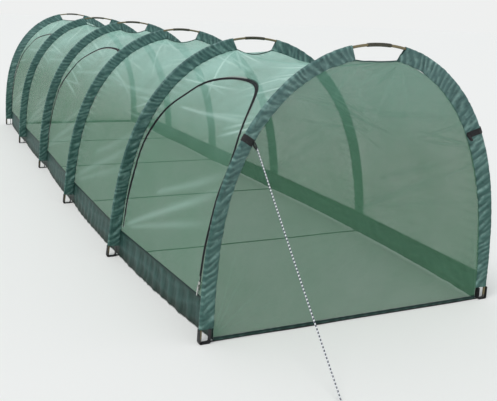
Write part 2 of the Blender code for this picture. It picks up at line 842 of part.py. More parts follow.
def make_ground_cords():
    """The cord under each hoop."""
    black = material("webbing", (0.012, 0.013, 0.014), 0.7)
    for hoop in range(HOOP_COUNT):
        add_object(f"ground_cord_{hoop + 1}", ground_cord_mesh(hoop), black)


# Guy: the webbing band clips over the front sleeve, and the rope runs forward to the ground


def band_frame(side):
    """Where a band's middle lies on its facet of the sleeve, with the ways out and down it."""
    facets = list(zip(SIDE_STATIONS, SIDE_STATIONS[1:]))
    ends = next(pair for pair in facets if rod_frame(0, pair[1])[0][2] < GUY_HEIGHT)
    (first, out_a), (second, out_b) = (rod_frame(0, side * s) for s in ends)
    down = (second - first) / np.linalg.norm(second - first)
    share = (first[2] - GUY_HEIGHT) / (first[2] - second[2])
    spare = BAND_FACET_MARGIN / np.linalg.norm(second - first)
    share = min(max(share, spare), 1 - spare)
    out = np.cross(down, np.cross(out_a + out_b, down))
    return first * (1 - share) + second * share, out / np.linalg.norm(out), down


def band_mesh(side):
    """A strap bent over the outer edge of the sleeve, with a loop at its front inner end."""
    centre, out, down = band_frame(side)
    cloth = sleeve_section()[0]
    reach = 2 * GAP
    inner = [
        (cloth[0][0] + reach, cloth[0][1] + reach),
        (cloth[1][0] + reach, cloth[1][1] + reach),
        (SEAM_DEPTH - FIN_DEPTH, BAND_END_HALF),
    ]
    outer = [
        (inner[0][0] + BAND_THICKNESS, inner[0][1] + BAND_THICKNESS / 2),
        (inner[1][0] + BAND_THICKNESS / 2, inner[1][1] + BAND_THICKNESS),
        (inner[2][0], inner[2][1] + BAND_THICKNESS),
    ]
    outline = list(reversed(outer)) + [(a, -b) for a, b in outer]
    outline += [(a, -b) for a, b in reversed(inner)] + inner
    across = (0, 1, 0)
    half = BAND_HALF_LENGTH
    strap = prism_mesh(outline, down, -half, half, centre, (out, across))
    front = -(inner[2][1] + BAND_THICKNESS)
    start = inner[2][0] + RING_WALL
    end = start - RING_DEPTH
    length = RING_HALF_LENGTH
    frame = [(start, -length), (start, length), (end, length), (end, -length)]
    hole = [
        (start - RING_WALL, RING_WALL - length),
        (start - RING_WALL, length - RING_WALL),
        (end + RING_WALL, length - RING_WALL),
        (end + RING_WALL, RING_WALL - length),
    ]
    depth = (front - BAND_THICKNESS / 2, front + BAND_THICKNESS / 2)
    ring = prism_mesh(frame, across, *depth, centre, (out, down))
    middle = (front - BAND_THICKNESS, front + BAND_THICKNESS)
    ring = combined(ring, prism_mesh(hole, across, *middle, centre, (out, down)), "DIFFERENCE")
    return combined(strap, ring, "UNION")


def rope_route():
    """The taut rope from the left band's loop down to the knot just outside the view."""
    centre, out, down = band_frame(-1)
    front = -(BAND_END_HALF + BAND_THICKNESS)
    end = SEAM_DEPTH - FIN_DEPTH + RING_WALL - RING_DEPTH
    start = centre + out * (end + RING_WALL) + down * (RING_HALF_LENGTH - RING_WALL / 2)
    start = start + np.array([0.0, front - BAND_THICKNESS / 2 - ROPE_RADIUS - GAP, 0.0])
    finish = np.array([*ROPE_END, KNOT_RADIUS])
    span = finish - start
    finish = finish - span / np.linalg.norm(span) * (KNOT_RADIUS + GAP)
    count = int(np.linalg.norm(finish - start) / ROPE_POINT_GAP)
    points = []
    for step in range(count + 1):
        t = step / count
        point = start * (1 - t) + finish * t
        point[2] -= ROPE_SAG * 4 * t * (1 - t)
        points.append(point)
    return points


def tube_mesh(points, radius, cyclic=False):
    """A round cord along points, made as a curve with a bevel and filled caps."""
    line = bpy.data.curves.new("route", "CURVE")
    line.dimensions = "3D"
    line.bevel_depth = radius
    line.bevel_resolution = 2
    line.use_fill_caps = not cyclic
    spline = line.splines.new("POLY")
    spline.points.add(len(points) - 1)
    for place, point in zip(spline.points, points):
        place.co = (*point, 1.0)
    spline.use_cyclic_u = cyclic
    return line


def curve_to_mesh(line):
    """The evaluated tube of a curve as a mesh."""
    piece = bpy.data.objects.new("route", line)
    bpy.context.collection.objects.link(piece)
    bpy.context.view_layer.update()
    graph = bpy.context.evaluated_depsgraph_get()
    mesh = bpy.data.meshes.new_from_object(piece.evaluated_get(graph))
    bpy.data.objects.remove(piece)
    return mesh


def knot_mesh():
    """A round knot with a flat eye of rope on the ground beyond it, which takes a peg."""
    x, y = ROPE_END
    rings = []
    for ring_step in range(1, KNOT_STEPS):
        polar = math.pi * ring_step / KNOT_STEPS
        reach = KNOT_RADIUS * math.sin(polar)
        z = KNOT_RADIUS * (1 - math.cos(polar))
        ring = []
        for step in range(ROD_SIDES):
            angle = 2 * math.pi * step / ROD_SIDES
            ring.append((x + reach * math.cos(angle), y + reach * math.sin(angle), z))
        rings.append(ring)
    ball = closed_mesh(*ring_sweep(rings))
    eye = []
    for step in range(EYE_STEPS):
        angle = 2 * math.pi * step / EYE_STEPS
        along = EYE_LENGTH / 2 * (1 + math.cos(angle))
        eye.append((x + EYE_HALF_WIDTH * math.sin(angle), y - along, EYE_MIDDLE))
    loop = curve_to_mesh(tube_mesh(eye, ROPE_RADIUS, cyclic=True))
    return combined(ball, loop, "UNION")


def make_guy():
    """Both bands, the left-hand rope and its knot."""
    black = bpy.data.materials["webbing"]
    braid = material("guy_rope", (0.32, 0.36, 0.45), 0.6)
    for side, word in ((-1, "left"), (1, "right")):
        add_object(f"{word}_guy_band", band_mesh(side), black)
    rope = bpy.data.objects.new("guy_rope", tube_mesh(rope_route(), ROPE_RADIUS))
    rope.data.materials.append(braid)
    bpy.context.collection.objects.link(rope)
    add_object("guy_knot", knot_mesh(), braid, smooth=True)


def clear_scene():
    """Remove whatever the file opened with."""
    for piece in list(bpy.data.objects):
        bpy.data.objects.remove(piece)


def build_tunnel():
    """Every piece of the tunnel."""
    clear_scene()
    make_poles()
    make_sleeves()
    make_bays()
    make_sliders()
    make_skirts()
    make_ends()
    make_ground_cords()
    make_guy()


build_tunnel()
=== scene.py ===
"""Netting grow tunnel, dressed: sprung rods in gathered sleeves, a net cover with zipped doors."""

import math

import bmesh
import bpy
import numpy as np
from mathutils import Matrix, Vector


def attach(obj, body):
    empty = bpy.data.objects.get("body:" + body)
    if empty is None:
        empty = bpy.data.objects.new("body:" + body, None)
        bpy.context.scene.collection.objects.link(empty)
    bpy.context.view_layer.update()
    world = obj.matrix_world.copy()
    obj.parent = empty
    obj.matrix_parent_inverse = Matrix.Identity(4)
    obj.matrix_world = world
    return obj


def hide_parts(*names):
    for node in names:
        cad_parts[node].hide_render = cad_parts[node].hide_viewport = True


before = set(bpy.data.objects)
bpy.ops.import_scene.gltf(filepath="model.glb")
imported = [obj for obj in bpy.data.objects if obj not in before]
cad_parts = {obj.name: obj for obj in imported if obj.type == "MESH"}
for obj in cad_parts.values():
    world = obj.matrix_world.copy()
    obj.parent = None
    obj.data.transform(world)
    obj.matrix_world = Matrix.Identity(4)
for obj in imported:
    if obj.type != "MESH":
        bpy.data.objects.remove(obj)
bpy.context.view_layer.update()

# Camera, floor and light. The camera crouches off the front left corner at about 0.9 m and looks
# down the tunnel. The floor is plain and pale, under a soft overcast sky, which the camera sees
# in a plainer grey than the light that it sheds.

CAMERA_PLACE = (-1.2102, -3.6728, 0.8870)
CAMERA_TURN = (-0.45427, 0.25248, 0.046458)
LENS_LENGTH = 52.42
FLOOR_HALF = 60
SUN_WAY = (0.42, 0.30, -1.0)


def camera_turn(yaw, pitch, roll):
    """Columns right, up and back of a camera that looks along yaw, dipped by pitch, then rolls."""
    ahead = np.array(
        (-math.sin(yaw) * math.cos(pitch), math.cos(yaw) * math.cos(pitch), -math.sin(pitch))
    )
    right = np.array((math.cos(yaw), math.sin(yaw), 0.0))
    up = np.cross(right, ahead)
    across = right * math.cos(roll) + up * math.sin(roll)
    upward = up * math.cos(roll) - right * math.sin(roll)
    return np.stack((across, upward, -ahead), axis=1)


lens = bpy.data.cameras.new("photo_view")
lens.sensor_width = 36.0
lens.lens = LENS_LENGTH
lens.clip_start = 0.05
lens.clip_end = 200.0
camera = bpy.data.objects.new("photo_view", lens)
bpy.context.collection.objects.link(camera)
turned = Matrix(camera_turn(*CAMERA_TURN).tolist()).to_4x4()
camera.matrix_world = Matrix.Translation(CAMERA_PLACE) @ turned
bpy.context.scene.camera = camera
bpy.context.scene.view_settings.view_transform = "Standard"

floor_mesh = bpy.data.meshes.new("floor")
floor_corners = ((-1, -1), (1, -1), (1, 1), (-1, 1))
floor_points = [(x * FLOOR_HALF, y * FLOOR_HALF, 0) for x, y in floor_corners]
floor_mesh.from_pydata(floor_points, [], [(0, 1, 2, 3)])
floor = bpy.data.objects.new("floor", floor_mesh)
bpy.context.collection.objects.link(floor)
floor_finish = bpy.data.materials.new("pale_floor")
floor_finish.use_nodes = True
floor_shader = floor_finish.node_tree.nodes["Principled BSDF"]
floor_shader.inputs["Base Color"].default_value = (0.88, 0.88, 0.87, 1.0)
floor_shader.inputs["Roughness"].default_value = 0.9
floor_shader.inputs["Specular IOR Level"].default_value = 0.1
floor_mesh.materials.append(floor_finish)

sky = bpy.data.worlds.new("overcast")
bpy.context.scene.world = sky
sky.use_nodes = True
sky_nodes, sky_links = sky.node_tree.nodes, sky.node_tree.links
sky_nodes.clear()
sky_out = sky_nodes.new("ShaderNodeOutputWorld")
sky_mix = sky_nodes.new("ShaderNodeMixShader")
for place, colour, strength in (
    (1, (0.93, 0.97, 1.0, 1.0), 0.60),
    (2, (0.86, 0.87, 0.865, 1.0), 1.0),
):
    background = sky_nodes.new("ShaderNodeBackground")
    background.inputs["Color"].default_value = colour
    background.inputs["Strength"].default_value = strength
    sky_links.new(background.outputs["Background"], sky_mix.inputs[place])
sky_path = sky_nodes.new("ShaderNodeLightPath")
sky_links.new(sky_path.outputs["Is Camera Ray"], sky_mix.inputs["Fac"])
sky_links.new(sky_mix.outputs["Shader"], sky_out.inputs["Surface"])

sun = bpy.data.lights.new("high_cloud", "SUN")
sun.energy = 1.5
sun.angle = math.radians(34.0)
sun.color = (1.0, 0.985, 0.96)
sun_holder = bpy.data.objects.new("high_cloud", sun)
sun_holder.rotation_euler = Vector(SUN_WAY).to_track_quat("-Z", "Y").to_euler()
bpy.context.collection.objects.link(sun_holder)


# Guy rope. Braided cord of 4 mm, tied into the left band's loop and drawn taut to a peg place on
# the ground, where it ends in a round knot with a flat eye.

GUY_START = (-0.36750386, -1.9833, 0.54376788)
GUY_END = (-0.31842069, -2.39645887, 0.01007421)
GUY_SAG = 0.003
GUY_RADIUS = 0.002
GUY_POINTS = 57
STRANDS_TO_METRE = 110.0
DASHES_TO_METRE = 111.0
DASH_SHARE = 0.56


def unit(vectors):
    """The vectors at length 1."""
    return vectors / np.linalg.norm(vectors, axis=-1, keepdims=True)


def run_along(path):
    """Distance along a path at each of its points."""
    return np.append(0.0, np.cumsum(np.linalg.norm(np.diff(path, axis=0), axis=1)))


def tidy_mesh(name, points, faces, loop_uv=None):
    """A smooth mesh from an array of points and its faces, with an optional UV for each corner."""
    mesh = bpy.data.meshes.new(name)
    faces = faces.tolist() if isinstance(faces, np.ndarray) else faces
    mesh.from_pydata(np.asarray(points, float).tolist(), [], faces)
    if loop_uv is not None:
        layer = mesh.uv_layers.new(name="along")
        layer.data.foreach_set("uv", np.asarray(loop_uv, np.float32).ravel())
    mesh.shade_smooth()
    return mesh


def swept_tube(path, radius, sides, squash=1.0, turn=(0.0, 0.0, 1.0)):
    """Points, faces and UVs of a round tube with closed ends: ring j stands square to the path at
    point j, and its point k is at angle 2 pi k / sides. Radius may be one number or one for each
    ring. UVs are metres along the path and the share of the way round."""
    rows = len(path) - 1
    tangent = unit(np.gradient(path, axis=0))
    side = unit(np.cross(tangent, turn))
    up = np.cross(side, tangent)
    angle = 2 * np.pi * np.arange(sides) / sides
    ring = side[:, None] * np.cos(angle)[:, None] + up[:, None] * (squash * np.sin(angle))[:, None]
    points = path[:, None] + ring * np.broadcast_to(radius, rows + 1)[:, None, None]
    j, k = np.meshgrid(np.arange(rows), np.arange(sides), indexing="ij")
    ring_start, next_start, k2 = j * sides, (j + 1) * sides, (k + 1) % sides
    corners = (ring_start + k, ring_start + k2, next_start + k2, next_start + k)
    faces = [tuple(face) for face in np.stack(corners, -1).reshape(-1, 4).tolist()]
    faces += [tuple(range(sides - 1, -1, -1)), tuple(range(rows * sides, (rows + 1) * sides))]
    run = run_along(path)
    turned = (k / sides, (k + 1) / sides)
    corner = ((j, 0), (j, 1), (j + 1, 1), (j + 1, 0))
    uv = np.stack([np.stack((run[row], turned[way]), -1) for row, way in corner], 2).reshape(-1, 2)
    return points.reshape(-1, 3), faces, np.concatenate((uv, np.zeros((2 * sides, 2))))


def outward(mesh):
    """Turn every face of a closed mesh outwards."""
    work = bmesh.new()
    work.from_mesh(mesh)
    bmesh.ops.recalc_face_normals(work, faces=work.faces)
    work.to_mesh(mesh)
    work.free()
    return mesh


def coat(mesh, finish):
    """Put one finish on a mesh in place of what it has."""
    mesh.materials.clear()
    mesh.materials.append(finish)


def place_piece(name, mesh, finish, body, node):
    """A piece with its finish, riding on a body and standing for the named solid."""
    coat(mesh, finish)
    piece = bpy.data.objects.new(name, mesh)
    bpy.context.collection.objects.link(piece)
    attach(piece, body)
    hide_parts(node)
    return piece


def place_solid(name, shape, finish, body, node):
    """A closed shape of points, faces and perhaps UVs as a piece, with its faces outwards."""
    return place_piece(name, outward(tidy_mesh(name, *shape)), finish, body, node)


def new_finish(name, colour, roughness, metallic=0.0, specular=0.5):
    """A material with its plain values on the shader's own sockets, its tree and its shader."""
    finish = bpy.data.materials.new(name)
    finish.use_nodes = True
    shader = finish.node_tree.nodes["Principled BSDF"]
    shader.inputs["Base Color"].default_value = (*colour, 1.0)
    shader.inputs["Roughness"].default_value = roughness
    shader.inputs["Metallic"].default_value = metallic
    shader.inputs["Specular IOR Level"].default_value = specular
    return finish, finish.node_tree, shader


class Signal:
    """A number or colour that a node puts out. Each operator or step adds one Math node."""

    def __init__(self, tree, socket):
        self.tree, self.socket = tree, socket

    def step(self, operation, *others):
        """A Math node over this signal and the others, which are signals or numbers."""
        node = self.tree.nodes.new("ShaderNodeMath")
        node.operation = operation
        for socket, value in zip(node.inputs, (self, *others)):
            feed(self.tree, socket, value)
        return Signal(self.tree, node.outputs[0])

    def __add__(self, other):
        return self.step("ADD", other)

    def __sub__(self, other):
        return self.step("SUBTRACT", other)

    def __rsub__(self, other):
        return self.step("MULTIPLY_ADD", -1.0, other)

    def __mul__(self, other):
        return self.step("MULTIPLY", other)

    def __gt__(self, other):
        return self.step("GREATER_THAN", other)

    def __lt__(self, other):
        return self.step("LESS_THAN", other)

    def sine(self, rate):
        """The sine of this signal times a rate in radians."""
        return (self * rate).step("SINE")


def feed(tree, socket, value):
    """Put a number or a colour on a socket, or link a signal to it."""
    if isinstance(value, Signal):
        tree.links.new(value.socket, socket)
    else:
        socket.default_value = (*value, 1.0) if isinstance(value, tuple) else value


def colour_mix(share, first, second):
    """Mix of two colours by the share in a signal."""
    node = share.tree.nodes.new("ShaderNodeMix")
    node.data_type = "RGBA"
    for place, value in ((0, share), (6, first), (7, second)):
        feed(share.tree, node.inputs[place], value)
    return Signal(share.tree, node.outputs[2])


def uv_parts(tree):
    """The two numbers of the piece's own UV map."""
    place = tree.nodes.new("ShaderNodeTexCoord")
    split = tree.nodes.new("ShaderNodeSeparateXYZ")
    tree.links.new(place.outputs["UV"], split.inputs[0])
    return Signal(tree, split.outputs[0]), Signal(tree, split.outputs[1])


def dress(shader, colour, height, depth, strength=1.0):
    """Link the base colour, and raise the surface by a height signal times depth in metres."""
    node = height.tree.nodes.new("ShaderNodeBump")
    node.inputs["Strength"].default_value = strength
    node.inputs["Distance"].default_value = depth
    feed(height.tree, node.inputs["Height"], height)
    height.tree.links.new(node.outputs["Normal"], shader.inputs["Normal"])
    feed(height.tree, shader.inputs["Base Color"], colour)


def new_group(name, inputs, outputs):
    """An empty shader node group: its tree, its inputs as signals by name, and its output node."""
    group = bpy.data.node_groups.new(name, "ShaderNodeTree")
    for way, titles in (("INPUT", inputs), ("OUTPUT", outputs)):
        for title in titles:
            group.interface.new_socket(title, in_out=way, socket_type="NodeSocketFloat")
    entry = group.nodes.new("NodeGroupInput")
    given = {title: Signal(group, entry.outputs[title]) for title in inputs}
    return group, given, group.nodes.new("NodeGroupOutput")


def placed(tree, group, **values):
    """A group's node in a material's tree with that material's values; its outputs by name."""
    node = tree.nodes.new("ShaderNodeGroup")
    node.node_tree = group
    for title, value in values.items():
        feed(tree, node.inputs[title], value)
    return {socket.name: Signal(tree, socket) for socket in node.outputs}


def mottle_group():
    """Noise over the piece's own coordinates, Scale waves to the metre: Tone is the noise from 0
    to 1, and Flecks is 1 where it passes Limit."""
    titles = ("Scale", "Detail", "Roughness")
    group, given, end = new_group("mottle", (*titles, "Limit"), ("Tone", "Flecks"))
    place = group.nodes.new("ShaderNodeTexCoord")
    noise = group.nodes.new("ShaderNodeTexNoise")
    group.links.new(place.outputs["Object"], noise.inputs["Vector"])
    for title in titles:
        feed(group, noise.inputs[title], given[title])
    tone = Signal(group, noise.outputs["Fac"])
    feed(group, end.inputs["Tone"], tone)
    feed(group, end.inputs["Flecks"], tone > given["Limit"])
    return group


def braid_finish():
    """White braid with navy strands: a slanted check on the UV, with a dark dash every 9 mm."""
    finish, tree, shader = new_finish("guy_braid", (0.35, 0.4, 0.5), 0.65)
    along, around = uv_parts(tree)
    forward, across = along * STRANDS_TO_METRE, around * 2.0
    wave = (forward + across).sine(2 * math.pi)
    cross = (forward - across).sine(2 * math.pi)
    dash = (along * DASHES_TO_METRE).step("FRACT") < DASH_SHARE
    colour = colour_mix(dash * (wave > -0.85), (0.80, 0.82, 0.84), (0.018, 0.025, 0.06))
    dress(shader, colour, wave * cross, 0.0004)
    return finish


mottle = mottle_group()
braid = braid_finish()
share = np.linspace(0.0, 1.0, GUY_POINTS)[:, None]
guy_path = np.array(GUY_START) * (1 - share) + np.array(GUY_END) * share
guy_path[:, 2] -= GUY_SAG * 4 * share[:, 0] * (1 - share[:, 0])
rope_tube = swept_tube(guy_path, GUY_RADIUS, 10)
rope = place_solid("guy_rope_cord", rope_tube, braid, "tunnel", "guy_rope")

# The knot and its eye keep their solid's shape, with the rope's own braid on them.
knot_finish, knot_tree, knot_shader = new_finish("guy_knot_braid", (0.35, 0.4, 0.5), 0.65)
knot_spots = placed(knot_tree, mottle, Scale=420.0, Detail=2.0, Roughness=0.5, Limit=0.52)
knot_colour = colour_mix(knot_spots["Flecks"], (0.66, 0.70, 0.76), (0.035, 0.05, 0.12))
dress(knot_shader, knot_colour, knot_spots["Tone"], 0.0005)
knot = bpy.data.objects["guy_knot"]
coat(knot.data, knot_finish)


# Rods. Twelve pultruded glass-fibre rods of 8 mm, two to a hoop, sprung into the sleeves. Both
# feet of a hoop stand free to turn, so each hoop takes the curve of a bent spring.

HOOP_SPANS = (1.02, 1.12, 1.115, 1.065, 1.045, 1.0)
HOOP_GAP = 0.79
HALF_ROD = 1.08
ROD_RADIUS = 0.004
ROD_CHAMFER = 0.0008
ROD_TIP = 0.012
FOOT_LIFT = 0.002


def bent_rod(span):
    """Distance, x, z and outward x, z along half a rod. With k its modulus and p from 0 at the
    crown to a right angle at the foot, u and e sum 1 / r and r over p, r = sqrt(1 - (k sin p)^2);
    the half-width is 2 e - u and the height is 2 k cos p, both times the half length over u."""
    low, high = 0.05, 0.95
    turn = np.linspace(0.0, math.pi / 2, 2001)
    for _ in range(40):
        modulus = (low + high) / 2
        root = np.sqrt(1 - (modulus * np.sin(turn)) ** 2)
        u = np.append(0.0, np.cumsum(1 / root[1:] + 1 / root[:-1]) / 2 * turn[1])
        e = np.append(0.0, np.cumsum(root[1:] + root[:-1]) / 2 * turn[1])
        if 2 * e[-1] / u[-1] - 1 > span / (2 * HALF_ROD):
            low = modulus
        else:
            high = modulus
    size = HALF_ROD / u[-1]
    rise = 2 * modulus * np.cos(turn) * size + FOOT_LIFT
    out_z = 1 - 2 * (modulus * np.sin(turn)) ** 2
    return u * size, (2 * e - u) * size, rise, 2 * modulus * np.sin(turn) * root, out_z


HOOPS = [bent_rod(span) for span in HOOP_SPANS]


def hoop_y(hoop):
    """Where a hoop stands along the tunnel, counted from 0 at the front."""
    return (hoop - 2.5) * HOOP_GAP


def rod_at(hoop, s):
    """Places on a hoop's centre line and its outward directions, s from the crown, left below 0."""
    s = np.asarray(s, float)
    along, x, z, out_x, out_z = HOOPS[hoop]
    side, far = np.where(s < 0, -1.0, 1.0), np.abs(s)
    y = np.full(s.shape, hoop_y(hoop))
    place = (side * np.interp(far, along, x), y, np.interp(far, along, z))
    out = (side * np.interp(far, along, out_x), np.zeros(s.shape), np.interp(far, along, out_z))
    return np.stack(place, -1), np.stack(out, -1)


def rod_finish():
    """Glass fibre in long fine streaks from dark brown to tan, with a bare grey tip at the foot."""
    finish, tree, shader = new_finish("glass_rod", (0.22, 0.17, 0.07), 0.34)
    shader.inputs["Coat Weight"].default_value = 0.25
    along, around = uv_parts(tree)
    place = tree.nodes.new("ShaderNodeCombineXYZ")
    feed(tree, place.inputs[0], along * 14.0)
    feed(tree, place.inputs[1], around * 26.0)
    noise = tree.nodes.new("ShaderNodeTexNoise")
    noise.inputs["Scale"].default_value = 1.0
    noise.inputs["Detail"].default_value = 4.0
    tree.links.new(place.outputs[0], noise.inputs["Vector"])
    streak = Signal(tree, noise.outputs["Fac"])
    colour = colour_mix(streak, (0.060, 0.045, 0.018), (0.29, 0.235, 0.115))
    colour = colour_mix(along > HALF_ROD - ROD_TIP, colour, (0.10, 0.095, 0.085))
    dress(shader, colour, streak, 0.0002)
    return finish


glass_rod = rod_finish()
for hoop in range(6):
    for side, word in ((-1, "left"), (1, "right")):
        stations = np.append(np.linspace(0.00015, HALF_ROD - ROD_CHAMFER, 110), HALF_ROD)
        path, _ = rod_at(hoop, side * stations)
        radius = np.full(len(stations), ROD_RADIUS)
        radius[-1] = ROD_RADIUS - ROD_CHAMFER
        tube = swept_tube(path, radius, 20, turn=(0.0, 1.0, 0.0))
        name, node = f"{word}_rod_{hoop + 1}", f"{word}_pole_{hoop + 1}"
        place_solid(name, tube, glass_rod, "tunnel", node)


# Ferrules. A short steel tube at each crown, rolled and deburred, into which the two rods of the
# hoop are pushed from both ends. It shows in the crown windows.

FERRULE_HALF = 0.04
FERRULE_BORE = 0.0043
FERRULE_OUTSIDE = 0.0054
FERRULE_ROWS = 25
FERRULE_SIDES = 24
FERRULE_CHAMFER = 0.0003


def grid_faces(rows, columns, wrap_rows=False, wrap_columns=False):
    """Quads between neighbours of a rows by columns grid of points, wrapped round where asked."""
    j = np.arange(rows if wrap_rows else rows - 1)
    k = np.arange(columns if wrap_columns else columns - 1)
    j, k = np.meshgrid(j, k, indexing="ij")
    after_j, after_k = (j + 1) % rows, (k + 1) % columns
    corners = (j * columns + k, j * columns + after_k, after_j * columns + after_k)
    return np.stack((*corners, after_j * columns + k), -1).reshape(-1, 4)


def steel_finish():
    """Weathered steel, dark grey-brown, speckled in two tones under a fine brushed grain."""
    finish, tree, shader = new_finish("ferrule_steel", (0.07, 0.065, 0.05), 0.42, 0.6)
    grain = placed(tree, mottle, Scale=900.0, Detail=2.0, Roughness=0.5)["Tone"]
    spots = placed(tree, mottle, Scale=120.0, Detail=4.0, Roughness=0.7)["Tone"]
    colour = colour_mix(spots, (0.035, 0.034, 0.024), (0.12, 0.115, 0.085))
    dress(shader, colour, grain, 0.00015)
    return finish


ferrule_steel = steel_finish()
ferrule_stations = np.linspace(-FERRULE_HALF, FERRULE_HALF, FERRULE_ROWS)
for hoop in range(6):
    path, out = rod_at(hoop, ferrule_stations)
    lip = np.zeros(FERRULE_ROWS)
    lip[[0, -1]] = FERRULE_CHAMFER
    loops = np.concatenate((FERRULE_OUTSIDE - lip, FERRULE_BORE + lip[::-1]))
    path, out = np.concatenate((path, path[::-1])), np.concatenate((out, out[::-1]))
    angle = (2 * np.pi * np.arange(FERRULE_SIDES) / FERRULE_SIDES)[:, None]
    ring = out[:, None] * np.cos(angle) + np.array((0.0, 1.0, 0.0)) * np.sin(angle)
    points = (path[:, None] + ring * loops[:, None, None]).reshape(-1, 3)
    faces = grid_faces(2 * FERRULE_ROWS, FERRULE_SIDES, wrap_rows=True, wrap_columns=True)
    name, node = f"ferrule_{hoop + 1}", f"pole_ferrule_{hoop + 1}"
    place_solid(name, (points, faces), ferrule_steel, "tunnel", node)


# Sleeves. A fin of coated woven cloth on each hoop, folded over the rod, gathered a little and
# sewn flat to the cover at its inner edge. Each is open at the crown, above a bound edge.

FIN_DEPTH = 0.038
FIN_SEAM_HALF = 0.0018
SLEEVE_ROUND = 0.0053
SLEEVE_START = 0.09
SLEEVE_SLANT = 0.012
SLEEVE_STOP = 1.04
SLEEVE_CLOTH = 0.0007
SLEEVE_THREAD = 0.0009
SLEEVE_GRIDS = (
    (0.0022, 38), (0.0026, 36), (0.0028, 32), (0.0032, 30), (0.0036, 28), (0.0036, 28),
)
BAND_PLACE = np.interp(0.57, HOOPS[0][2][::-1], HOOPS[0][0][::-1])


def fin_profile(count):
    """Teardrop outline as outward, across and the share from rod (0) to seam (1). It starts at the
    seam, runs out along one face, round the rod on a half circle, and back along the other."""
    arc = np.linspace(-0.62 * math.pi, 0.62 * math.pi, 2 * (count // 5) + 1)
    flat = np.linspace(1.0, 0.0, count // 2 - count // 5)[:-1]
    edge_out = SLEEVE_ROUND * math.cos(arc[0])
    edge_across = SLEEVE_ROUND * math.sin(-arc[0])
    out = edge_out + (-FIN_DEPTH - edge_out) * flat
    across = edge_across + (FIN_SEAM_HALF - edge_across) * flat**0.75
    out = np.concatenate((out, SLEEVE_ROUND * np.cos(arc), out[::-1]))
    across = np.concatenate((-across, SLEEVE_ROUND * np.sin(arc), across[::-1]))
    depth = np.concatenate((flat, np.zeros(len(arc)), flat[::-1]))
    return out, across, depth


def ramp(value):
    """The value, held between 0 and 1."""
    return np.clip(value, 0, 1)


def crease_wave(phase, sharpness):
    """Pointed ridges with round hollows: 1 at each whole phase, down to 0 halfway between."""
    return (0.5 + 0.5 * np.cos(2 * np.pi * phase)) ** sharpness


def slow_noise(s, seed, step):
    """Smooth noise along s from -1 to 1: random values every step, joined by cosine curves."""
    values = np.random.default_rng(seed).uniform(-1, 1, 400)
    place = np.abs(s) / step + 3
    index = np.floor(place).astype(int) % 399
    part = 0.5 - 0.5 * np.cos(np.pi * (place - np.floor(place)))
    return values[index] * (1 - part) + values[index + 1] * part


def seam_sway(hoop, s):
    """How far the nets draw an end hoop's seam into the tunnel: most halfway up, none at a foot."""
    way = {0: 1.0, 5: -1.0}.get(hoop, 0.0)
    return way * 0.017 * np.sin(0.85 * np.pi * ramp((0.98 - np.abs(s)) / 0.9))


def fin_folds(s, depth, seed, lean):
    """Slanting gathers across the fin in three sizes, which come and go along it, and a slow weave
    of its seam: how far the cloth moves sideways, and how high its ridges stand from 0 to 1."""
    curl = 0.12 * np.sin(3.5 * depth + 3.0 * slow_noise(s, seed + 6, 0.05))
    first = s / 0.034 + lean * depth * 0.85 + 0.45 * slow_noise(s, seed, 0.06) + curl
    second = s / 0.0185 + lean * depth * 1.25 + 0.5 * slow_noise(s, seed + 1, 0.04) - curl
    third = s / 0.0115 + lean * depth * 1.6 + 0.6 * slow_noise(s, seed + 4, 0.03)
    strong = 0.5 + 0.5 * slow_noise(s + 0.025 * depth, seed + 2, 0.035)
    near_rod = 0.5 + 0.5 * slow_noise(s - 0.02 * depth, seed + 8, 0.028)
    reach = np.sin(np.pi * np.clip(depth, 0.06, 0.97)) ** 0.5
    ridge = crease_wave(first, 3.0) * strong * ramp(1.6 * depth + near_rod - 0.2)
    small = crease_wave(second, 2.6) * (1.0 - strong) * ramp(1.5 - 1.3 * depth + near_rod)
    fine = crease_wave(third, 2.0) * near_rod
    slow = 0.0026 * slow_noise(s, seed + 3, 0.09) * depth
    move = 0.0050 * (ridge - 0.2) + 0.0032 * (small - 0.2) + 0.0009 * (fine - 0.2)
    return reach * move + slow, ramp(0.9 * ridge + 0.7 * small + 0.15 * fine)


def sleeve_half(hoop, side, step, count):
    """One half sleeve: points, faces, UVs in metres (along, round) and ridge heights."""
    out, across, depth = fin_profile(count)
    along = np.append(np.arange(SLEEVE_START, SLEEVE_STOP, step), SLEEVE_STOP)
    s, d = np.meshgrid(along, depth, indexing="ij")
    s = s - SLEEVE_SLANT * d * ramp(1 - (s - SLEEVE_START) / 0.05)
    place, outward_way = rod_at(hoop, side * s)
    calm = np.clip((s - SLEEVE_START + 0.02) / 0.05, 0.25, 1)
    calm = calm * np.clip((SLEEVE_STOP + 0.004 - s) / 0.02, 0.2, 1)
    if hoop == 0:
        calm = calm * (1 - 0.85 * np.exp(-(((s - BAND_PLACE) / 0.017) ** 2)))
    seed = 40 * hoop + 7 * (side > 0)
    shift, ridge = fin_folds(s, d, seed, 1.0 if side < 0 else -1.0)
    shift = shift * calm
    puff = 0.0011 * calm * ridge * np.sin(np.pi * ramp(d)) ** 0.5
    spread = across + np.sign(across) * puff + shift * (d > 0)
    around = 0.0007 * calm * slow_noise(s + 0.2 * np.sign(across), seed + 5, 0.009) * (d < 0.05)
    seam_wave = 0.0011 * slow_noise(s, seed + 9, 0.016) * calm * ramp(d - 0.5) * 2
    points = place + outward_way * (out + around + seam_wave)[..., None]
    points[..., 1] += spread + seam_sway(hoop, s) * ramp(d)
    turn = run_along(np.stack((out, across), -1))
    uv = np.stack((s, np.broadcast_to(turn, s.shape)), -1).reshape(-1, 2)
    return points.reshape(-1, 3), grid_faces(*s.shape, wrap_columns=True), uv, ridge.ravel()


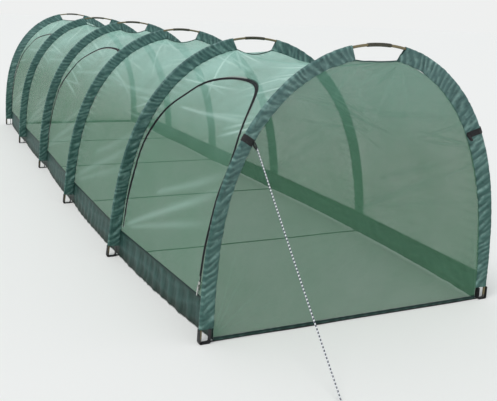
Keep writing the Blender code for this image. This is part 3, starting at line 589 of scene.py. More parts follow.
def grid_mesh(name, points, faces, uv, fold):
    """A smooth mesh from grid points, with a UV for each point and its fold height as fold."""
    mesh = tidy_mesh(name, points, faces, uv[faces.ravel()])
    layer = mesh.attributes.new("fold", "FLOAT", "POINT")
    layer.data.foreach_set("value", fold.astype(np.float32))
    return mesh


def cloth_wall(piece, thickness):
    """Give a cloth piece its thickness, inwards from its outer face."""
    wall = piece.modifiers.new("cloth", "SOLIDIFY")
    wall.thickness = thickness
    wall.offset = -1.0


def fold_height(tree):
    """The mesh's own fold attribute."""
    node = tree.nodes.new("ShaderNodeAttribute")
    node.attribute_name = "fold"
    return Signal(tree, node.outputs["Fac"])


def weave_group():
    """Threads on the UV map, from the product of its two sines at Rate in radians to the metre:
    Height is half of one plus it, a plain weave, and Hole is its size, the open holes of a knit."""
    group, given, end = new_group("weave", ("Rate",), ("Height", "Hole"))
    along, across = uv_parts(group)
    cross = along.sine(given["Rate"]) * across.sine(given["Rate"])
    feed(group, end.inputs["Height"], cross.step("MULTIPLY_ADD", 0.5, 0.5))
    feed(group, end.inputs["Hole"], cross.step("ABSOLUTE"))
    return group


def height_group():
    """Share is 0 below the height Low and 1 above High, with a smooth rise between them."""
    group, given, end = new_group("height_share", ("Low", "High"), ("Share",))
    place = group.nodes.new("ShaderNodeTexCoord")
    split = group.nodes.new("ShaderNodeSeparateXYZ")
    group.links.new(place.outputs["Object"], split.inputs[0])
    rise = group.nodes.new("ShaderNodeMapRange")
    rise.interpolation_type = "SMOOTHSTEP"
    feed(group, rise.inputs["From Min"], given["Low"])
    feed(group, rise.inputs["From Max"], given["High"])
    group.links.new(split.outputs["Z"], rise.inputs["Value"])
    group.links.new(rise.outputs["Result"], end.inputs["Share"])
    return group


weave, height_share = weave_group(), height_group()


def sleeve_finish():
    """Coated slate-teal cloth: fine weave and a soft gloss, with dark flecks, painted shade in the
    hollows of its gathers, painted highlights on their ridges that are also worn paler in patches,
    and painted light that makes it paler towards the crown."""
    finish, tree, shader = new_finish("sleeve_cloth_woven", (0.045, 0.15, 0.13), 0.42, specular=0.3)
    shader.inputs["Sheen Weight"].default_value = 0.05
    shader.inputs["Sheen Roughness"].default_value = 0.4
    fold = fold_height(tree)
    patch = placed(tree, mottle, Scale=9.0, Detail=4.0, Roughness=0.6)["Tone"]
    cloud = placed(tree, mottle, Scale=75.0, Detail=3.0, Roughness=0.6)["Tone"]
    base = colour_mix(patch, (0.026, 0.094, 0.075), (0.054, 0.140, 0.124))
    # Painted light: the cloth is made paler towards the crown, where more light falls on it.
    painted_crown_light = placed(tree, height_share, Low=0.25, High=0.75)["Share"] * 0.45
    base = colour_mix(painted_crown_light, base, (0.120, 0.220, 0.225))
    flecks = placed(tree, mottle, Scale=60.0, Detail=3.0, Roughness=0.65, Limit=0.58)["Flecks"]
    base = colour_mix(flecks * 0.4, base, (0.012, 0.044, 0.040))
    # Painted shade: the hollows between the gathers' ridges are darkened.
    painted_hollow_shade = (1.0 - fold).step("POWER", 6.0) * (cloud * 0.7)
    base = colour_mix(painted_hollow_shade, base, (0.012, 0.046, 0.042))
    # Painted highlight with wear: the ridges of the gathers are made paler, in patches.
    lit_and_worn = placed(tree, mottle, Scale=28.0, Detail=3.0, Roughness=0.6)["Tone"]
    lit_and_worn = lit_and_worn.step("MULTIPLY_ADD", 3.2, -0.85).step("MAXIMUM", 0.15)
    painted_crest_highlight_and_wear = fold * (cloud * (lit_and_worn * 1.8))
    colour = colour_mix(painted_crest_highlight_and_wear.step("MINIMUM", 1.0), base, (0.26, 0.43, 0.39))
    thread = placed(tree, weave, Rate=math.pi / SLEEVE_THREAD)["Height"]
    dress(shader, colour, thread, 0.00018, 0.6)
    return finish


sleeve_cloth = sleeve_finish()
for hoop in range(6):
    parts = [sleeve_half(hoop, side, *SLEEVE_GRIDS[hoop]) for side in (-1, 1)]
    points, uv, fold = (np.concatenate([part[item] for part in parts]) for item in (0, 2, 3))
    faces = np.concatenate((parts[0][1][:, ::-1], parts[1][1] + len(parts[0][0])))
    name, node = f"sleeve_{hoop + 1}", f"pole_sleeve_{hoop + 1}"
    mesh = grid_mesh(name, points, faces, uv, fold)
    sleeve = place_piece(name, mesh, sleeve_cloth, "tunnel", node)
    cloth_wall(sleeve, SLEEVE_CLOTH)


# Bound edges. A folded tape of the sleeve cloth, stitched over the net's raw edge below each
# crown window, from one fin's seam to the other. It is nearly straight on the end hoops.

BINDING_REACH = 0.0876
BINDING_HALF_WIDTH = 0.0046
BINDING_FLATNESS = 0.40
WINDOW_REACH = 0.078
END_WINDOW_DIP = 0.010
INNER_WINDOW_DIP = 0.022
STITCH_STEP = 0.003


def window_dip(hoop, s):
    """How far the bound edge hangs below the fins' inner line under a crown window."""
    depth = END_WINDOW_DIP if hoop in (0, 5) else INNER_WINDOW_DIP
    return depth * np.clip(1 - (np.asarray(s) / WINDOW_REACH) ** 2, 0, None)


def binding_finish():
    """Dark green folded tape with a row of stitches along it."""
    finish, tree, shader = new_finish("bound_edge", (0.03, 0.08, 0.07), 0.55, specular=0.3)
    along, around = uv_parts(tree)
    stitch = along.sine(2 * math.pi / STITCH_STEP)
    row = (around - 0.5).step("ABSOLUTE") < 0.06
    tone = placed(tree, mottle, Scale=60.0, Detail=3.0, Roughness=0.5)["Tone"]
    base = colour_mix(tone, (0.020, 0.062, 0.052), (0.040, 0.098, 0.085))
    colour = colour_mix((stitch > 0.1) * row, base, (0.05, 0.11, 0.10))
    dress(shader, colour, stitch, 0.00025)
    return finish


bound_edge = binding_finish()
binding_s = np.linspace(-BINDING_REACH, BINDING_REACH, 61)
for hoop in range(6):
    place, out = rod_at(hoop, binding_s)
    wobble = 0.0012 * slow_noise(binding_s + 0.5, hoop + 90, 0.03)
    wobble = wobble * np.cos(binding_s / BINDING_REACH * np.pi / 2)
    path = place - out * (FIN_DEPTH - 0.0005 + window_dip(hoop, binding_s) + wobble)[:, None]
    path[:, 1] += seam_sway(hoop, binding_s)
    tube = swept_tube(path, BINDING_HALF_WIDTH, 14, squash=BINDING_FLATNESS)
    name, node = f"window_binding_{hoop + 1}", f"pole_sleeve_{hoop + 1}"
    place_solid(name, tube, bound_edge, "tunnel", node)


# Net cover. Five bays of fine knitted net, each cut in one piece, sewn to the fins' inner edges
# and stretched from hoop to hoop, so it draws in between them and creases at the window corners.

COVER_DROP = 0.0383
NET_EDGE_GAP = 0.0004
NET_END = 0.98
SEAM_LAP = 0.004
NET_INSET = 0.0003
NET_CELLS = (0.0043, 0.0052, 0.0062, 0.0072, 0.008)
NET_HOLE = 0.0016
NET_BOW = 0.028
BOW_RISE = 0.35
SKIRT_BULGE = 0.010
COVER_LOW = 0.0043
DOOR_BAYS = (0, 2, 4)
DOOR_NAMES = ("front", "middle", "rear")
DOOR_HALF = 0.33
DOOR_SHIFT = 0.042
DOOR_SILL = 0.115
DOOR_SHOULDER = 0.32
DOOR_TOP = 0.682
DOOR_ROUNDNESS = 2.8
DOOR_SEAM = 0.004
BAY_CLOTH = (0.80, 1.98)
DOORED_AREA = 1.18
FLAP_CLOTH = (0.68, 0.66)
FLAP_AREA = 0.40


def cover_edge(hoop, s):
    """The line along a fin's inner edge; its last tenth of a metre runs on down to the ground."""
    place, out = rod_at(hoop, s)
    edge = place - out * (COVER_DROP + window_dip(hoop, s))[..., None]
    edge[..., 1] += seam_sway(hoop, s)
    side = np.where(s < 0, -1.0, 1.0)
    foot, foot_out = rod_at(hoop, side * HALF_ROD)
    left = ramp((np.abs(s) - NET_END) / (HALF_ROD - NET_END)) ** 2
    spare = (foot[..., 2] - COVER_DROP * foot_out[..., 2] - COVER_LOW) / np.abs(foot_out[..., 0])
    down = np.stack((np.abs(foot_out[..., 2]) * side, 0 * s, -np.abs(foot_out[..., 0])), -1)
    return edge + down * (left * spare)[..., None], out


def net_gathers(bay, s, t):
    """Movement of the stretched net along its outward normal, and how sharp its folds are. It has
    slow ripples, short puckers at the fins, and straight creases, sharp ones from the windows and
    fins and wide soft ones across the walls. The movement fades out towards the skirt."""
    reach = np.minimum(t, 1 - t) * HOOP_GAP
    near = np.exp(-reach / 0.035)
    pucker = crease_wave(np.abs(s) / 0.034 + 0.4 * slow_noise(s, 300 + bay, 0.07), 1.6)
    move = 0.0018 * near * (pucker - 0.4) * ramp((np.abs(s) - 0.08) / 0.05)
    fold = 0.45 * near * pucker * np.clip(reach / 0.01, 0.4, 1)
    inner = ramp(reach / 0.10)
    move += 0.0030 * inner * np.sin(2 * np.pi * (s / 0.41 + 0.8 * t + 0.13 * bay))
    move += 0.0018 * inner * np.sin(2 * np.pi * (s / 0.19 - 1.3 * t + 0.31 * bay))
    dice = np.random.default_rng(500 + bay)
    lines = []
    for way in (-1, 1):
        for edge, turn in ((0.0, 1.0), (1.0, -1.0)):
            for lean in (0.06, 0.15, 0.27):
                far_s = way * (0.085 + lean * dice.uniform(0.8, 1.2))
                far_t = edge + turn * dice.uniform(0.25, 0.6)
                lines.append((way * 0.082, edge, far_s, far_t, dice.uniform(0.4, 0.9), 1.0))
        for _ in range(13):
            start = way * dice.uniform(0.11, 0.60)
            edge = dice.integers(0, 2)
            run = (1 - 2 * edge) * dice.uniform(0.15, 0.55)
            end = start + way * dice.uniform(-0.05, 0.10)
            lines.append((start, edge, end, edge + run, dice.uniform(0.35, 0.9), 1.0))
        for s0, t0, s1, t1, power, spread in (
            (0.96, 0.97, 0.62, 0.03, 0.38, 3.0), (0.95, 0.93, 0.75, 0.08, 0.28, 2.4),
            (0.93, 0.95, 0.66, 0.10, 0.22, 1.6), (0.80, 0.72, 0.57, 0.08, 0.28, 3.2),
            (0.47, 0.85, 0.41, 0.06, 0.50, 1.8), (0.46, 0.70, 0.39, 0.03, 0.35, 1.2),
        ):
            slip = dice.uniform(-0.02, 0.02)
            lines.append((way * (s0 + slip), t0, way * (s1 - slip), t1, power, spread))
    strength = 1.0 if bay == 0 else 0.55
    for s0, t0, s1, t1, power, spread in lines:
        along = np.array((s1 - s0, (t1 - t0) * HOOP_GAP))
        length = np.hypot(*along)
        along /= length
        ds, dy = s - s0, (t - t0) * HOOP_GAP
        run = (ds * along[0] + dy * along[1]) / length
        off = ds * along[1] - dy * along[0]
        fade = ramp(run * 14) * ramp((1 - run) * 2.5) * strength
        width = spread * (0.0030 + 0.0008 * bay + 0.0035 * ramp(run))
        line = np.exp(-((off / width) ** 2)) * fade * power
        move += 0.0014 * line - 0.0006 * np.exp(-((off / (3 * width)) ** 2)) * fade * power
        fold = np.maximum(fold, line)
    return move * ramp((NET_END - np.abs(s)) / 0.25) ** 2, fold


def cover_at(bay, s, t, raise_by=0.0, gathers=True):
    """Points of the cover, s from the crown and t of the way from one hoop to the next: the mix
    of the two fins' edges, moved inwards by the bow times 4 t (1 - t), plus the gathers."""
    s, t = np.broadcast_arrays(np.asarray(s, float), np.asarray(t, float))
    near, near_out = cover_edge(bay, s)
    far, far_out = cover_edge(bay + 1, s)
    out = near_out + far_out
    height = HALF_ROD - np.abs(s)
    rise = ramp((height - 0.1) / BOW_RISE)
    bow = NET_BOW * rise * rise * (3 - 2 * rise) - SKIRT_BULGE * ramp(1 - height / 0.1)
    flatten = ramp((np.abs(s) - NET_END) / 0.1)[..., None]
    out = out * (1 - flatten) + np.sign(s)[..., None] * np.array((1.0, 0, 0)) * flatten
    out = unit(out)
    points = near * (1 - t)[..., None] + far * t[..., None]
    y = hoop_y(bay) + NET_EDGE_GAP + t * (HOOP_GAP - 2 * NET_EDGE_GAP)
    move, fold = net_gathers(bay, s, t) if gathers else (0.0, np.zeros(s.shape))
    points = points + out * (move + raise_by - 4 * t * (1 - t) * bow)[..., None]
    points[..., 1] = y + seam_sway(bay, s) * ramp(1 - t / 0.12) ** 2
    points[..., 1] += seam_sway(bay + 1, s) * ramp(1 - (1 - t) / 0.12) ** 2
    return points, fold


def door_middle(bay):
    """Where the middle of a bay's door is along the tunnel."""
    return hoop_y(bay) + HOOP_GAP / 2 + DOOR_SHIFT


def door_level(y, z, grow):
    """Below 0 inside a door's outline, which is grown by grow, and about metres beyond it: straight
    legs under a superellipse, whose two parts to the power of the roundness sum to 1."""
    half, rise = DOOR_HALF + grow, DOOR_TOP - DOOR_SHOULDER + grow
    up = np.clip(z - DOOR_SHOULDER, 0, None) / rise
    total = np.abs(y / half) ** DOOR_ROUNDNESS + up**DOOR_ROUNDNESS
    return (total ** (1 / DOOR_ROUNDNESS) - 1) * half


def clipped(values, faces, level):
    """The part of a triangle mesh where level is below zero. values holds a row for each point;
    a triangle on the border is cut where level, taken as straight along its sides, is zero."""
    inside = level[faces] < 0
    count = inside.sum(1)
    kept, cuts = [faces[count == 3]], []
    for wanted in (1, 2):
        rows = count == wanted
        odd = inside[rows] if wanted == 1 else ~inside[rows]
        order = (np.argmax(odd, 1)[:, None] + np.arange(3)) % 3
        cuts.append(np.take_along_axis(faces[rows], order, 1))
    pairs = np.concatenate([np.concatenate((tri[:, [0, 1]], tri[:, [0, 2]])) for tri in cuts])
    pairs, index = np.unique(np.sort(pairs, 1), axis=0, return_inverse=True)
    index = index.reshape(-1) + len(values)
    share = (level[pairs[:, 0]] / (level[pairs[:, 0]] - level[pairs[:, 1]]))[:, None]
    first, second = values[pairs[:, 0]], values[pairs[:, 1]]
    values = np.concatenate((values, first * (1 - share) + second * share))
    one, two = len(cuts[0]), len(cuts[1])
    ab, ac = index[:one], index[one : 2 * one]
    kept.append(np.stack((cuts[0][:, 0], ab, ac), 1))
    ab, ac = index[2 * one : 2 * one + two], index[2 * one + two :]
    kept.append(np.stack((ab, cuts[1][:, 1], cuts[1][:, 2]), 1))
    kept.append(np.stack((ab, cuts[1][:, 2], ac), 1))
    faces = np.concatenate(kept)
    used, faces = np.unique(faces, return_inverse=True)
    return values[used], faces.reshape(-1, 3)


def net_sheet(bay, cell):
    """A bay's net as rows of x, y, z, s, t, fold, with its triangles, wound to face outwards. It
    laps a little way down behind each skirt."""
    rows = int(2 * NET_END / cell)
    columns = int(HOOP_GAP / cell)
    s = np.linspace(-NET_END - SEAM_LAP, NET_END + SEAM_LAP, rows)
    s, t = np.meshgrid(s, np.linspace(0.0, 1.0, columns), indexing="ij")
    points, fold = cover_at(bay, s, t, -NET_INSET)
    values = np.concatenate((points, s[..., None], t[..., None] * HOOP_GAP, fold[..., None]), -1)
    quads = grid_faces(rows, columns)
    flip = (quads % 2 == 0)[:, :1]
    first = np.where(flip, quads[:, [0, 1, 2]], quads[:, [0, 1, 3]])
    second = np.where(flip, quads[:, [0, 2, 3]], quads[:, [1, 2, 3]])
    return values.reshape(-1, 6), np.concatenate((first, second))[:, ::-1]


def net_finish(name, deep, painted_roof_light, pale, open_share):
    """Knitted net as see-through cloth: solid threads round open holes on a fine grid, with painted
    light that makes it paler from shoulder height up, and denser where it folds, with painted
    highlights along the folds. Only the alpha carries the holes."""
    finish, tree, shader = new_finish(name, deep, 0.6, specular=0.35)
    hole = placed(tree, weave, Rate=math.pi / NET_HOLE)["Hole"]
    patch = placed(tree, mottle, Scale=5.0, Detail=4.0, Roughness=0.55)["Tone"]
    fold = fold_height(tree).step("MINIMUM", 1.0)
    solid = hole.step("MULTIPLY_ADD", -0.42, 1.0 - open_share + 0.17)
    solid = solid + (patch - 0.5) * 0.22 + fold * 0.22
    feed(tree, shader.inputs["Alpha"], solid.step("MINIMUM", 1.0))
    # Painted light: the net is made paler from shoulder height up, where the roof faces the sky.
    high = placed(tree, height_share, Low=0.42, High=0.76)["Share"] * (patch + 0.4)
    tint = colour_mix(high.step("MINIMUM", 1.0), deep, painted_roof_light)
    # Painted highlight: the folds are made paler along their lines; their extra alpha is the denser
    # cloth.
    dress(shader, colour_mix(fold * 0.75, tint, pale), hole, 0.0002, 0.4)
    return finish


# For each net, the third colour is painted light towards the roof and the fourth a painted
# highlight along the folds.
net_cloth = net_finish(
    "knitted_net", (0.070, 0.205, 0.118), (0.34, 0.60, 0.52), (0.58, 0.80, 0.74), 0.32
)
end_cloth = net_finish(
    "knitted_end_net", (0.065, 0.190, 0.105), (0.090, 0.25, 0.165), (0.22, 0.40, 0.32), 0.38
)
for bay in range(5):
    values, faces = net_sheet(bay, NET_CELLS[bay])
    name, node = f"net_{bay + 1}", f"net_bay_{bay + 1}"
    sheets = [(name, values, faces, node, "tunnel", BAY_CLOTH, None)]
    if bay in DOOR_BAYS:
        door = DOOR_NAMES[DOOR_BAYS.index(bay)]
        x, y, z = values[:, 0], values[:, 1] - door_middle(bay), values[:, 2]
        rest, flap = (
            clipped(values, faces, way * np.where(x < 0, np.maximum(edge, DOOR_SILL - z), 1.0))
            for way, edge in ((-1, door_level(y, z, DOOR_SEAM)), (1, door_level(y, z, -DOOR_SEAM)))
        )
        sheets = [(name, *rest, node, "tunnel", BAY_CLOTH, DOORED_AREA)]
        flap_words = (f"{door}_door_flap", f"{door}_door", FLAP_CLOTH, FLAP_AREA)
        sheets.append((f"{door}_door_net", *flap, *flap_words))
    for name, rows, cells, node, body, flat, area in sheets:
        mesh = grid_mesh(name, rows[:, :3], cells, rows[:, 3:5], rows[:, 5])
        net = place_piece(name, mesh, net_cloth, body, node)


# Zips. Black woven tape on both sides of a coil, sewn round the door's arch; one tape is on the
# cover and one on the flap, which starts just above the slider.

FLAP_TAPE_LOW = 0.155
FRAME_TAPE_LOW = DOOR_SILL + 0.0003
ZIP_STEP = 0.004
COIL_STEP = 0.0022
COIL_EDGE = 0.0023
ZIP_LIFT = 0.0005
ZIP_OUTLINE = np.array(
    (
        (0.0003, 0.0), (0.0005, 0.0010), (0.0013, 0.0014), (0.0021, 0.0010), (0.0024, 0.0004),
        (0.0042, 0.00055), (0.0059, 0.0004), (0.0059, -0.0002), (0.0024, -0.0004),
        (0.0013, -0.0012), (0.0005, -0.0008),
    )
)


def door_path(bay, step, low):
    """Points along a door's edge on the cover, evenly step apart, with the way out of the cloth
    and the way across the tape, away from the flap. low is the height of both ends."""
    angle = np.linspace(math.pi, 0.0, 900)
    power = 2 / DOOR_ROUNDNESS
    y = DOOR_HALF * np.sign(np.cos(angle)) * np.abs(np.cos(angle)) ** power
    z = DOOR_SHOULDER + (DOOR_TOP - DOOR_SHOULDER) * np.sin(angle) ** power
    y = np.concatenate(((-DOOR_HALF,), y, (DOOR_HALF,)))
    z = np.concatenate(((low,), z, (low,)))
    run = run_along(np.stack((y, z), -1))
    even = np.linspace(0, run[-1], int(run[-1] / step))
    y, z = np.interp(even, run, y), np.interp(even, run, z)
    t = (y + HOOP_GAP / 2 + DOOR_SHIFT - NET_EDGE_GAP) / (HOOP_GAP - 2 * NET_EDGE_GAP)
    top, count = 0.02, 500
    s = np.broadcast_to(-np.linspace(top, NET_END, count), (len(t), count))
    table = cover_at(bay, s, np.broadcast_to(t[:, None], s.shape), gathers=False)[0][..., 2]
    index = np.clip((table > z[:, None]).sum(1), 1, count - 1)
    line = np.arange(len(t))
    above, below = table[line, index - 1], table[line, index]
    s = -(top + (index - 1 + (above - z) / (above - below)) * (NET_END - top) / (count - 1))
    place = cover_at(bay, s, t)[0]
    small = 0.002
    near = [
        cover_at(bay, s + ds, t + dt, gathers=False)[0]
        for ds, dt in ((-small, 0.0), (small, 0.0), (0.0, small), (0.0, -small))
    ]
    out = unit(np.cross(near[0] - near[1], near[2] - near[3]))
    out *= -np.sign(out[:, :1])
    return place, out, unit(np.cross(out, unit(np.gradient(place, axis=0))))


def capped_run(path, rings, wide):
    """Faces and corner UVs for rings of points along a path, with a flat face at each end. UVs are
    metres along the path and the outline's own metres across."""
    count = rings.shape[1]
    last = (len(path) - 1) * count
    faces = [tuple(face) for face in grid_faces(len(path), count, wrap_columns=True).tolist()]
    faces += [tuple(range(count)), tuple(range(last + count - 1, last - 1, -1))]
    uv = np.stack(np.broadcast_arrays(run_along(path)[:, None], wide[None]), -1).reshape(-1, 2)
    corners = np.array([corner for face in faces for corner in face])
    return rings.reshape(-1, 3), faces, uv[corners]


def zip_half(place, out, across, way):
    """One tape with its row of coil: a flat band from under the groove outwards, whose inner edge
    swells into a round cord. It waves a little off the cloth, but not on the slider's run."""
    wide, high = ZIP_OUTLINE.T
    step = np.arange(len(place))
    wave = 0.0008 * np.sin(step * 0.11) * ramp(step / 20 - 1.6) + ZIP_LIFT
    side = way * wide[None, :, None] * across[:, None]
    up = (high[None, :] + wave[:, None])[..., None] * out[:, None]
    return capped_run(place, place[:, None] + side + up, wide)


def zip_finish():
    """Black tape with a herringbone weave, and the coil's loops as ridges beside the groove."""
    finish, tree, shader = new_finish("zip_black", (0.010, 0.011, 0.014), 0.6, specular=0.25)
    along, across = uv_parts(tree)
    loops = along.sine(2 * math.pi / COIL_STEP)
    on_coil = across < COIL_EDGE
    lean = (across - 0.0042).step("ABSOLUTE") * 2600.0
    bone = (lean + along * 5200.0).step("SINE")
    height = loops * on_coil + bone * (1.0 - on_coil) * 0.3
    colour = colour_mix((loops > 0.2) * on_coil, (0.009, 0.010, 0.013), (0.026, 0.028, 0.033))
    dress(shader, colour, height, 0.0005)
    return finish


zip_black = zip_finish()
zinc_finish, zinc_tree, zinc_shader = new_finish("cast_zinc", (0.62, 0.62, 0.60), 0.3, 1.0)
zinc_spots = placed(zinc_tree, mottle, Scale=700.0, Detail=3.0, Roughness=0.5)["Tone"]
zinc_colour = colour_mix(zinc_spots, (0.42, 0.42, 0.41), (0.74, 0.74, 0.72))
dress(zinc_shader, zinc_colour, zinc_spots, 0.0001)
for bay, door in zip(DOOR_BAYS, DOOR_NAMES):
    for part, way, low, body in (
        ("frame", 1.0, FRAME_TAPE_LOW, "tunnel"), ("flap", -1.0, FLAP_TAPE_LOW, f"{door}_door")
    ):
        place, out, across = door_path(bay, ZIP_STEP, low)
        middle = np.array((place[:, 0].mean(), door_middle(bay), (DOOR_SILL + DOOR_TOP) / 2))
        if ((place - middle) * across).sum() < 0:
            across = -across
        name, node = f"{door}_{part}_tape", f"{door}_zip_{part}_tape"
        place_solid(name, zip_half(place, out, across, way), zip_black, body, node)
    for node in (f"{door}_zip_slider", f"{door}_zip_pull"):
        coat(bpy.data.objects[node].data, zinc_finish)


# Skirts. A strip of the woven sleeve cloth along each side, 0.1 m high, sewn to the net's lower
# edge with a taped seam. It hangs to the ground in shallow creases that lean a little.

SKIRT_DROP = 0.1
SKIRT_CLOTH = 0.0008
SKIRT_THREAD = 0.0011
SKIRT_COLUMNS = 96
SKIRT_ROWS = 22


def loose_grid(points, uv, fold, flip):
    """A grid of points as one list of them, its faces, turned over where asked, UVs and folds."""
    faces = grid_faces(*fold.shape)
    if flip:
        faces = faces[:, ::-1]
    return points.reshape(-1, 3), faces, uv.reshape(-1, 2), fold.ravel()


def skirt_sheet(side):
    """A skirt over all five bays: points, faces, UVs and folds. Down it runs r from 0 to 1, and
    the leaning creases grow towards its lower edge; the first 8 mm are the raised seam."""
    t = np.linspace(0.0, 1.0, SKIRT_COLUMNS)[:-1]
    r = np.concatenate(((0.0, 0.02), np.linspace(0.05, 1.0, SKIRT_ROWS - 2)))
    parts = []
    for bay in range(5):
        across = np.append(t, 1.0) if bay == 4 else t
        s, part = np.meshgrid(side * (NET_END + SKIRT_DROP * r), across, indexing="ij")
        parts.append(cover_at(bay, s, part, gathers=False)[0])
    points = np.concatenate(parts, 1)
    points[:, 0, 1] += NET_EDGE_GAP
    points[:, -1, 1] -= NET_EDGE_GAP
    y = np.broadcast_to(points[:1, :, 1], points.shape[:2])
    down = np.broadcast_to(r[:, None], y.shape)
    seed = 700 if side < 0 else 760
    warp = 0.5 * slow_noise(y + 3, seed, 0.12) + 0.25 * down * slow_noise(y + 3, seed + 1, 0.05)
    crease = crease_wave(y / 0.062 + warp + 0.6 * down, 2.0)
    crease = crease * (0.4 + 0.6 * slow_noise(y + 3, seed + 2, 0.15) ** 2)
    small = crease_wave(y / 0.021 + warp * 2 + 0.4 * down, 2.5)
    level = crease_wave(down * 2.3 + slow_noise(y + 3, seed + 3, 0.22), 3.0)
    hoops = y / HOOP_GAP + 2.5
    from_hoop = np.abs(hoops - np.round(hoops)) * HOOP_GAP
    calm = np.clip(from_hoop / 0.03, 0.15, 1) * ramp(down * 6)
    move = 0.0042 * crease * calm * (0.4 + 0.6 * down)
    move = move + 0.0011 * small * calm + 0.0016 * level * calm
    seam = np.exp(-(((down - 0.035) / 0.03) ** 2))
    points = points + np.array((side, 0.0, 0.0)) * (move - 0.002 * calm + 0.0009 * seam)[..., None]
    fold = ramp(0.75 * crease * calm + 0.35 * small * calm + 0.3 * level * calm)
    return loose_grid(points, np.stack((y + 2, SKIRT_DROP * down), -1), fold, side > 0)


def skirt_finish():
    """The sleeve's cloth, nearly black along its seam and darker towards the ground, with a paler
    band between them, painted sky reflection on its bulge and wear in patches, and painted
    highlights on its crests."""
    finish, tree, shader = new_finish("skirt_cloth_woven", (0.016, 0.052, 0.042), 0.5, specular=0.2)
    _, down = uv_parts(tree)
    patch = placed(tree, mottle, Scale=7.0, Detail=5.0, Roughness=0.6)["Tone"]
    colour = colour_mix(patch, (0.008, 0.034, 0.024), (0.018, 0.054, 0.045))
    middle = down.sine(math.pi / SKIRT_DROP)
    # Painted sky reflection and wear in patches: the strip is made paler at mid-height, where it
    # bulges.
    lit_and_worn = middle.step("POWER", 3.0) * (patch * 0.9)
    # Darker towards the ground.
    low_darkening = (1.0 - middle) * (down > SKIRT_DROP / 2) * 0.85
    seam = (down < 0.0065) * 0.85
    # The fold mix paints highlights on the crests of the creases.
    for share, tint in (
        (lit_and_worn, (0.036, 0.085, 0.078)), (fold_height(tree) * 0.6, (0.075, 0.155, 0.140)),
        (low_darkening, (0.013, 0.022, 0.016)), (seam, (0.008, 0.026, 0.024)),
    ):
        colour = colour_mix(share, colour, tint)
    thread = placed(tree, weave, Rate=math.pi / SKIRT_THREAD)["Height"]
    dress(shader, colour, thread, 0.0002, 0.6)
    return finish


skirt_cloth = skirt_finish()
for side, word in ((-1, "left"), (1, "right")):
    name = f"{word}_skirt_strip"
    mesh = grid_mesh(name, *skirt_sheet(side))
    skirt = place_piece(name, mesh, skirt_cloth, "tunnel", f"{word}_skirt")
    cloth_wall(skirt, SKIRT_CLOTH)


# Ends. A flat net across the first and last hoop, sewn inside the fin all round, over a woven hem
# on the ground. Its creases fan out from the hem's corners and the window.

HEM_TOP = 0.014
HEM_CLOTH = 0.0009
HEM_HEIGHT = 0.011
END_COLUMNS = 171
END_ROWS = 110
HEM_COLUMNS = 260


def end_edge(hoop):
    """The inside of an end hoop's fin from its left foot over the crown to its right foot, cut off
    at the hem's top, and the two feet."""
    edge = cover_edge(hoop, np.linspace(-NET_END, NET_END, END_COLUMNS))[0]
    feet = cover_edge(hoop, np.array((-HALF_ROD, HALF_ROD)))[0]
    first, last = (
        top + (foot - top) * (top[2] - HEM_TOP) / (top[2] - foot[2])
        for top, foot in ((edge[0], feet[0]), (edge[-1], feet[1]))
    )
    return np.concatenate((first[None], edge, last[None])), feet


def end_sheet(hoop, way):
    """An end net between its straight hem and its arch: column u is a line from a point of the hem
    to a point of the arch, row v is how far along it. Its folds move it a little outwards."""
    arch, _ = end_edge(hoop)
    u = np.linspace(0.0, 1.0, len(arch))
    hem = arch[:1] * (1 - u[:, None]) + arch[-1:] * u[:, None]
    v = np.linspace(0.0, 1.0, END_ROWS)[:, None, None]
    points = hem[None] * (1 - v) + arch[None] * v
    x, z = points[..., 0], points[..., 2]
    dice = np.random.default_rng(820 + hoop)
    half = abs(arch[0][0])
    move = 0.004 * np.sin(2 * np.pi * (x / 0.47 + 0.2)) * np.sin(np.pi * v[..., 0])
    fold = np.zeros(x.shape)
    lines = []
    for start, low, high in (((-half, HEM_TOP), 20, 80), ((half, HEM_TOP), 100, 160)):
        for angle in np.linspace(low, high, 4) + dice.uniform(-5, 5, 4):
            length, power = dice.uniform(0.2, 0.4), dice.uniform(0.06, 0.18)
            lines.append((*start, math.radians(angle), length, power))
    for start in (-0.08, 0.08):
        for angle in (205, 245, 290, 335):
            length, power = dice.uniform(0.12, 0.25), dice.uniform(0.2, 0.5)
            lines.append((start, arch[:, 2].max() - 0.004, math.radians(angle), length, power))
    for x0, z0, angle, length, power in lines:
        dx, dz = x - x0, z - z0
        run = (dx * math.cos(angle) + dz * math.sin(angle)) / length
        off = dx * math.sin(angle) - dz * math.cos(angle)
        fade = ramp(run * 12) * ramp((1 - run) * 2)
        line = np.exp(-((off / (0.003 + 0.003 * ramp(run))) ** 2)) * fade * power
        move += 0.0015 * line
        fold = np.maximum(fold, line)
    v = v[..., 0]
    edge = np.minimum(np.minimum(u, 1 - u)[None] * 8, np.minimum(v * 6, (1 - v) * 12))
    points[..., 1] += way * (0.0014 + np.clip(move, -0.003, 0.006) * ramp(edge))
    return loose_grid(points, np.stack((x, z), -1), fold, way > 0)


def hem_sheet(hoop, way):
    """The strip under an end net, from the ground cord up, with small upright puckers."""
    arch, feet = end_edge(hoop)
    u = np.linspace(0.0, 1.0, HEM_COLUMNS)[None, :, None]
    r = np.concatenate(((0.0, 0.08), np.linspace(0.16, 1.0, 9)))[:, None, None]
    top, bottom = arch[0] * (1 - u) + arch[-1] * u, feet[0] * (1 - u) + feet[1] * u
    points = top * (1 - r) + bottom * r
    x, down = points[..., 0], np.broadcast_to(r[..., 0], points.shape[:2])
    crease = crease_wave(x / 0.037 + 0.5 * slow_noise(x + 2, 840 + hoop, 0.06), 2.0)
    held = np.sin(np.pi * ramp(down * 0.8 + 0.1))
    held = held * ramp((1 - np.abs(2 * u[..., 0] - 1)) * 20)
    points[..., 1] += way * (0.0020 + 0.0016 * crease * held)
    uv = np.stack((x + 1, HEM_HEIGHT * down), -1)
    return loose_grid(points, uv, crease * held, way > 0)


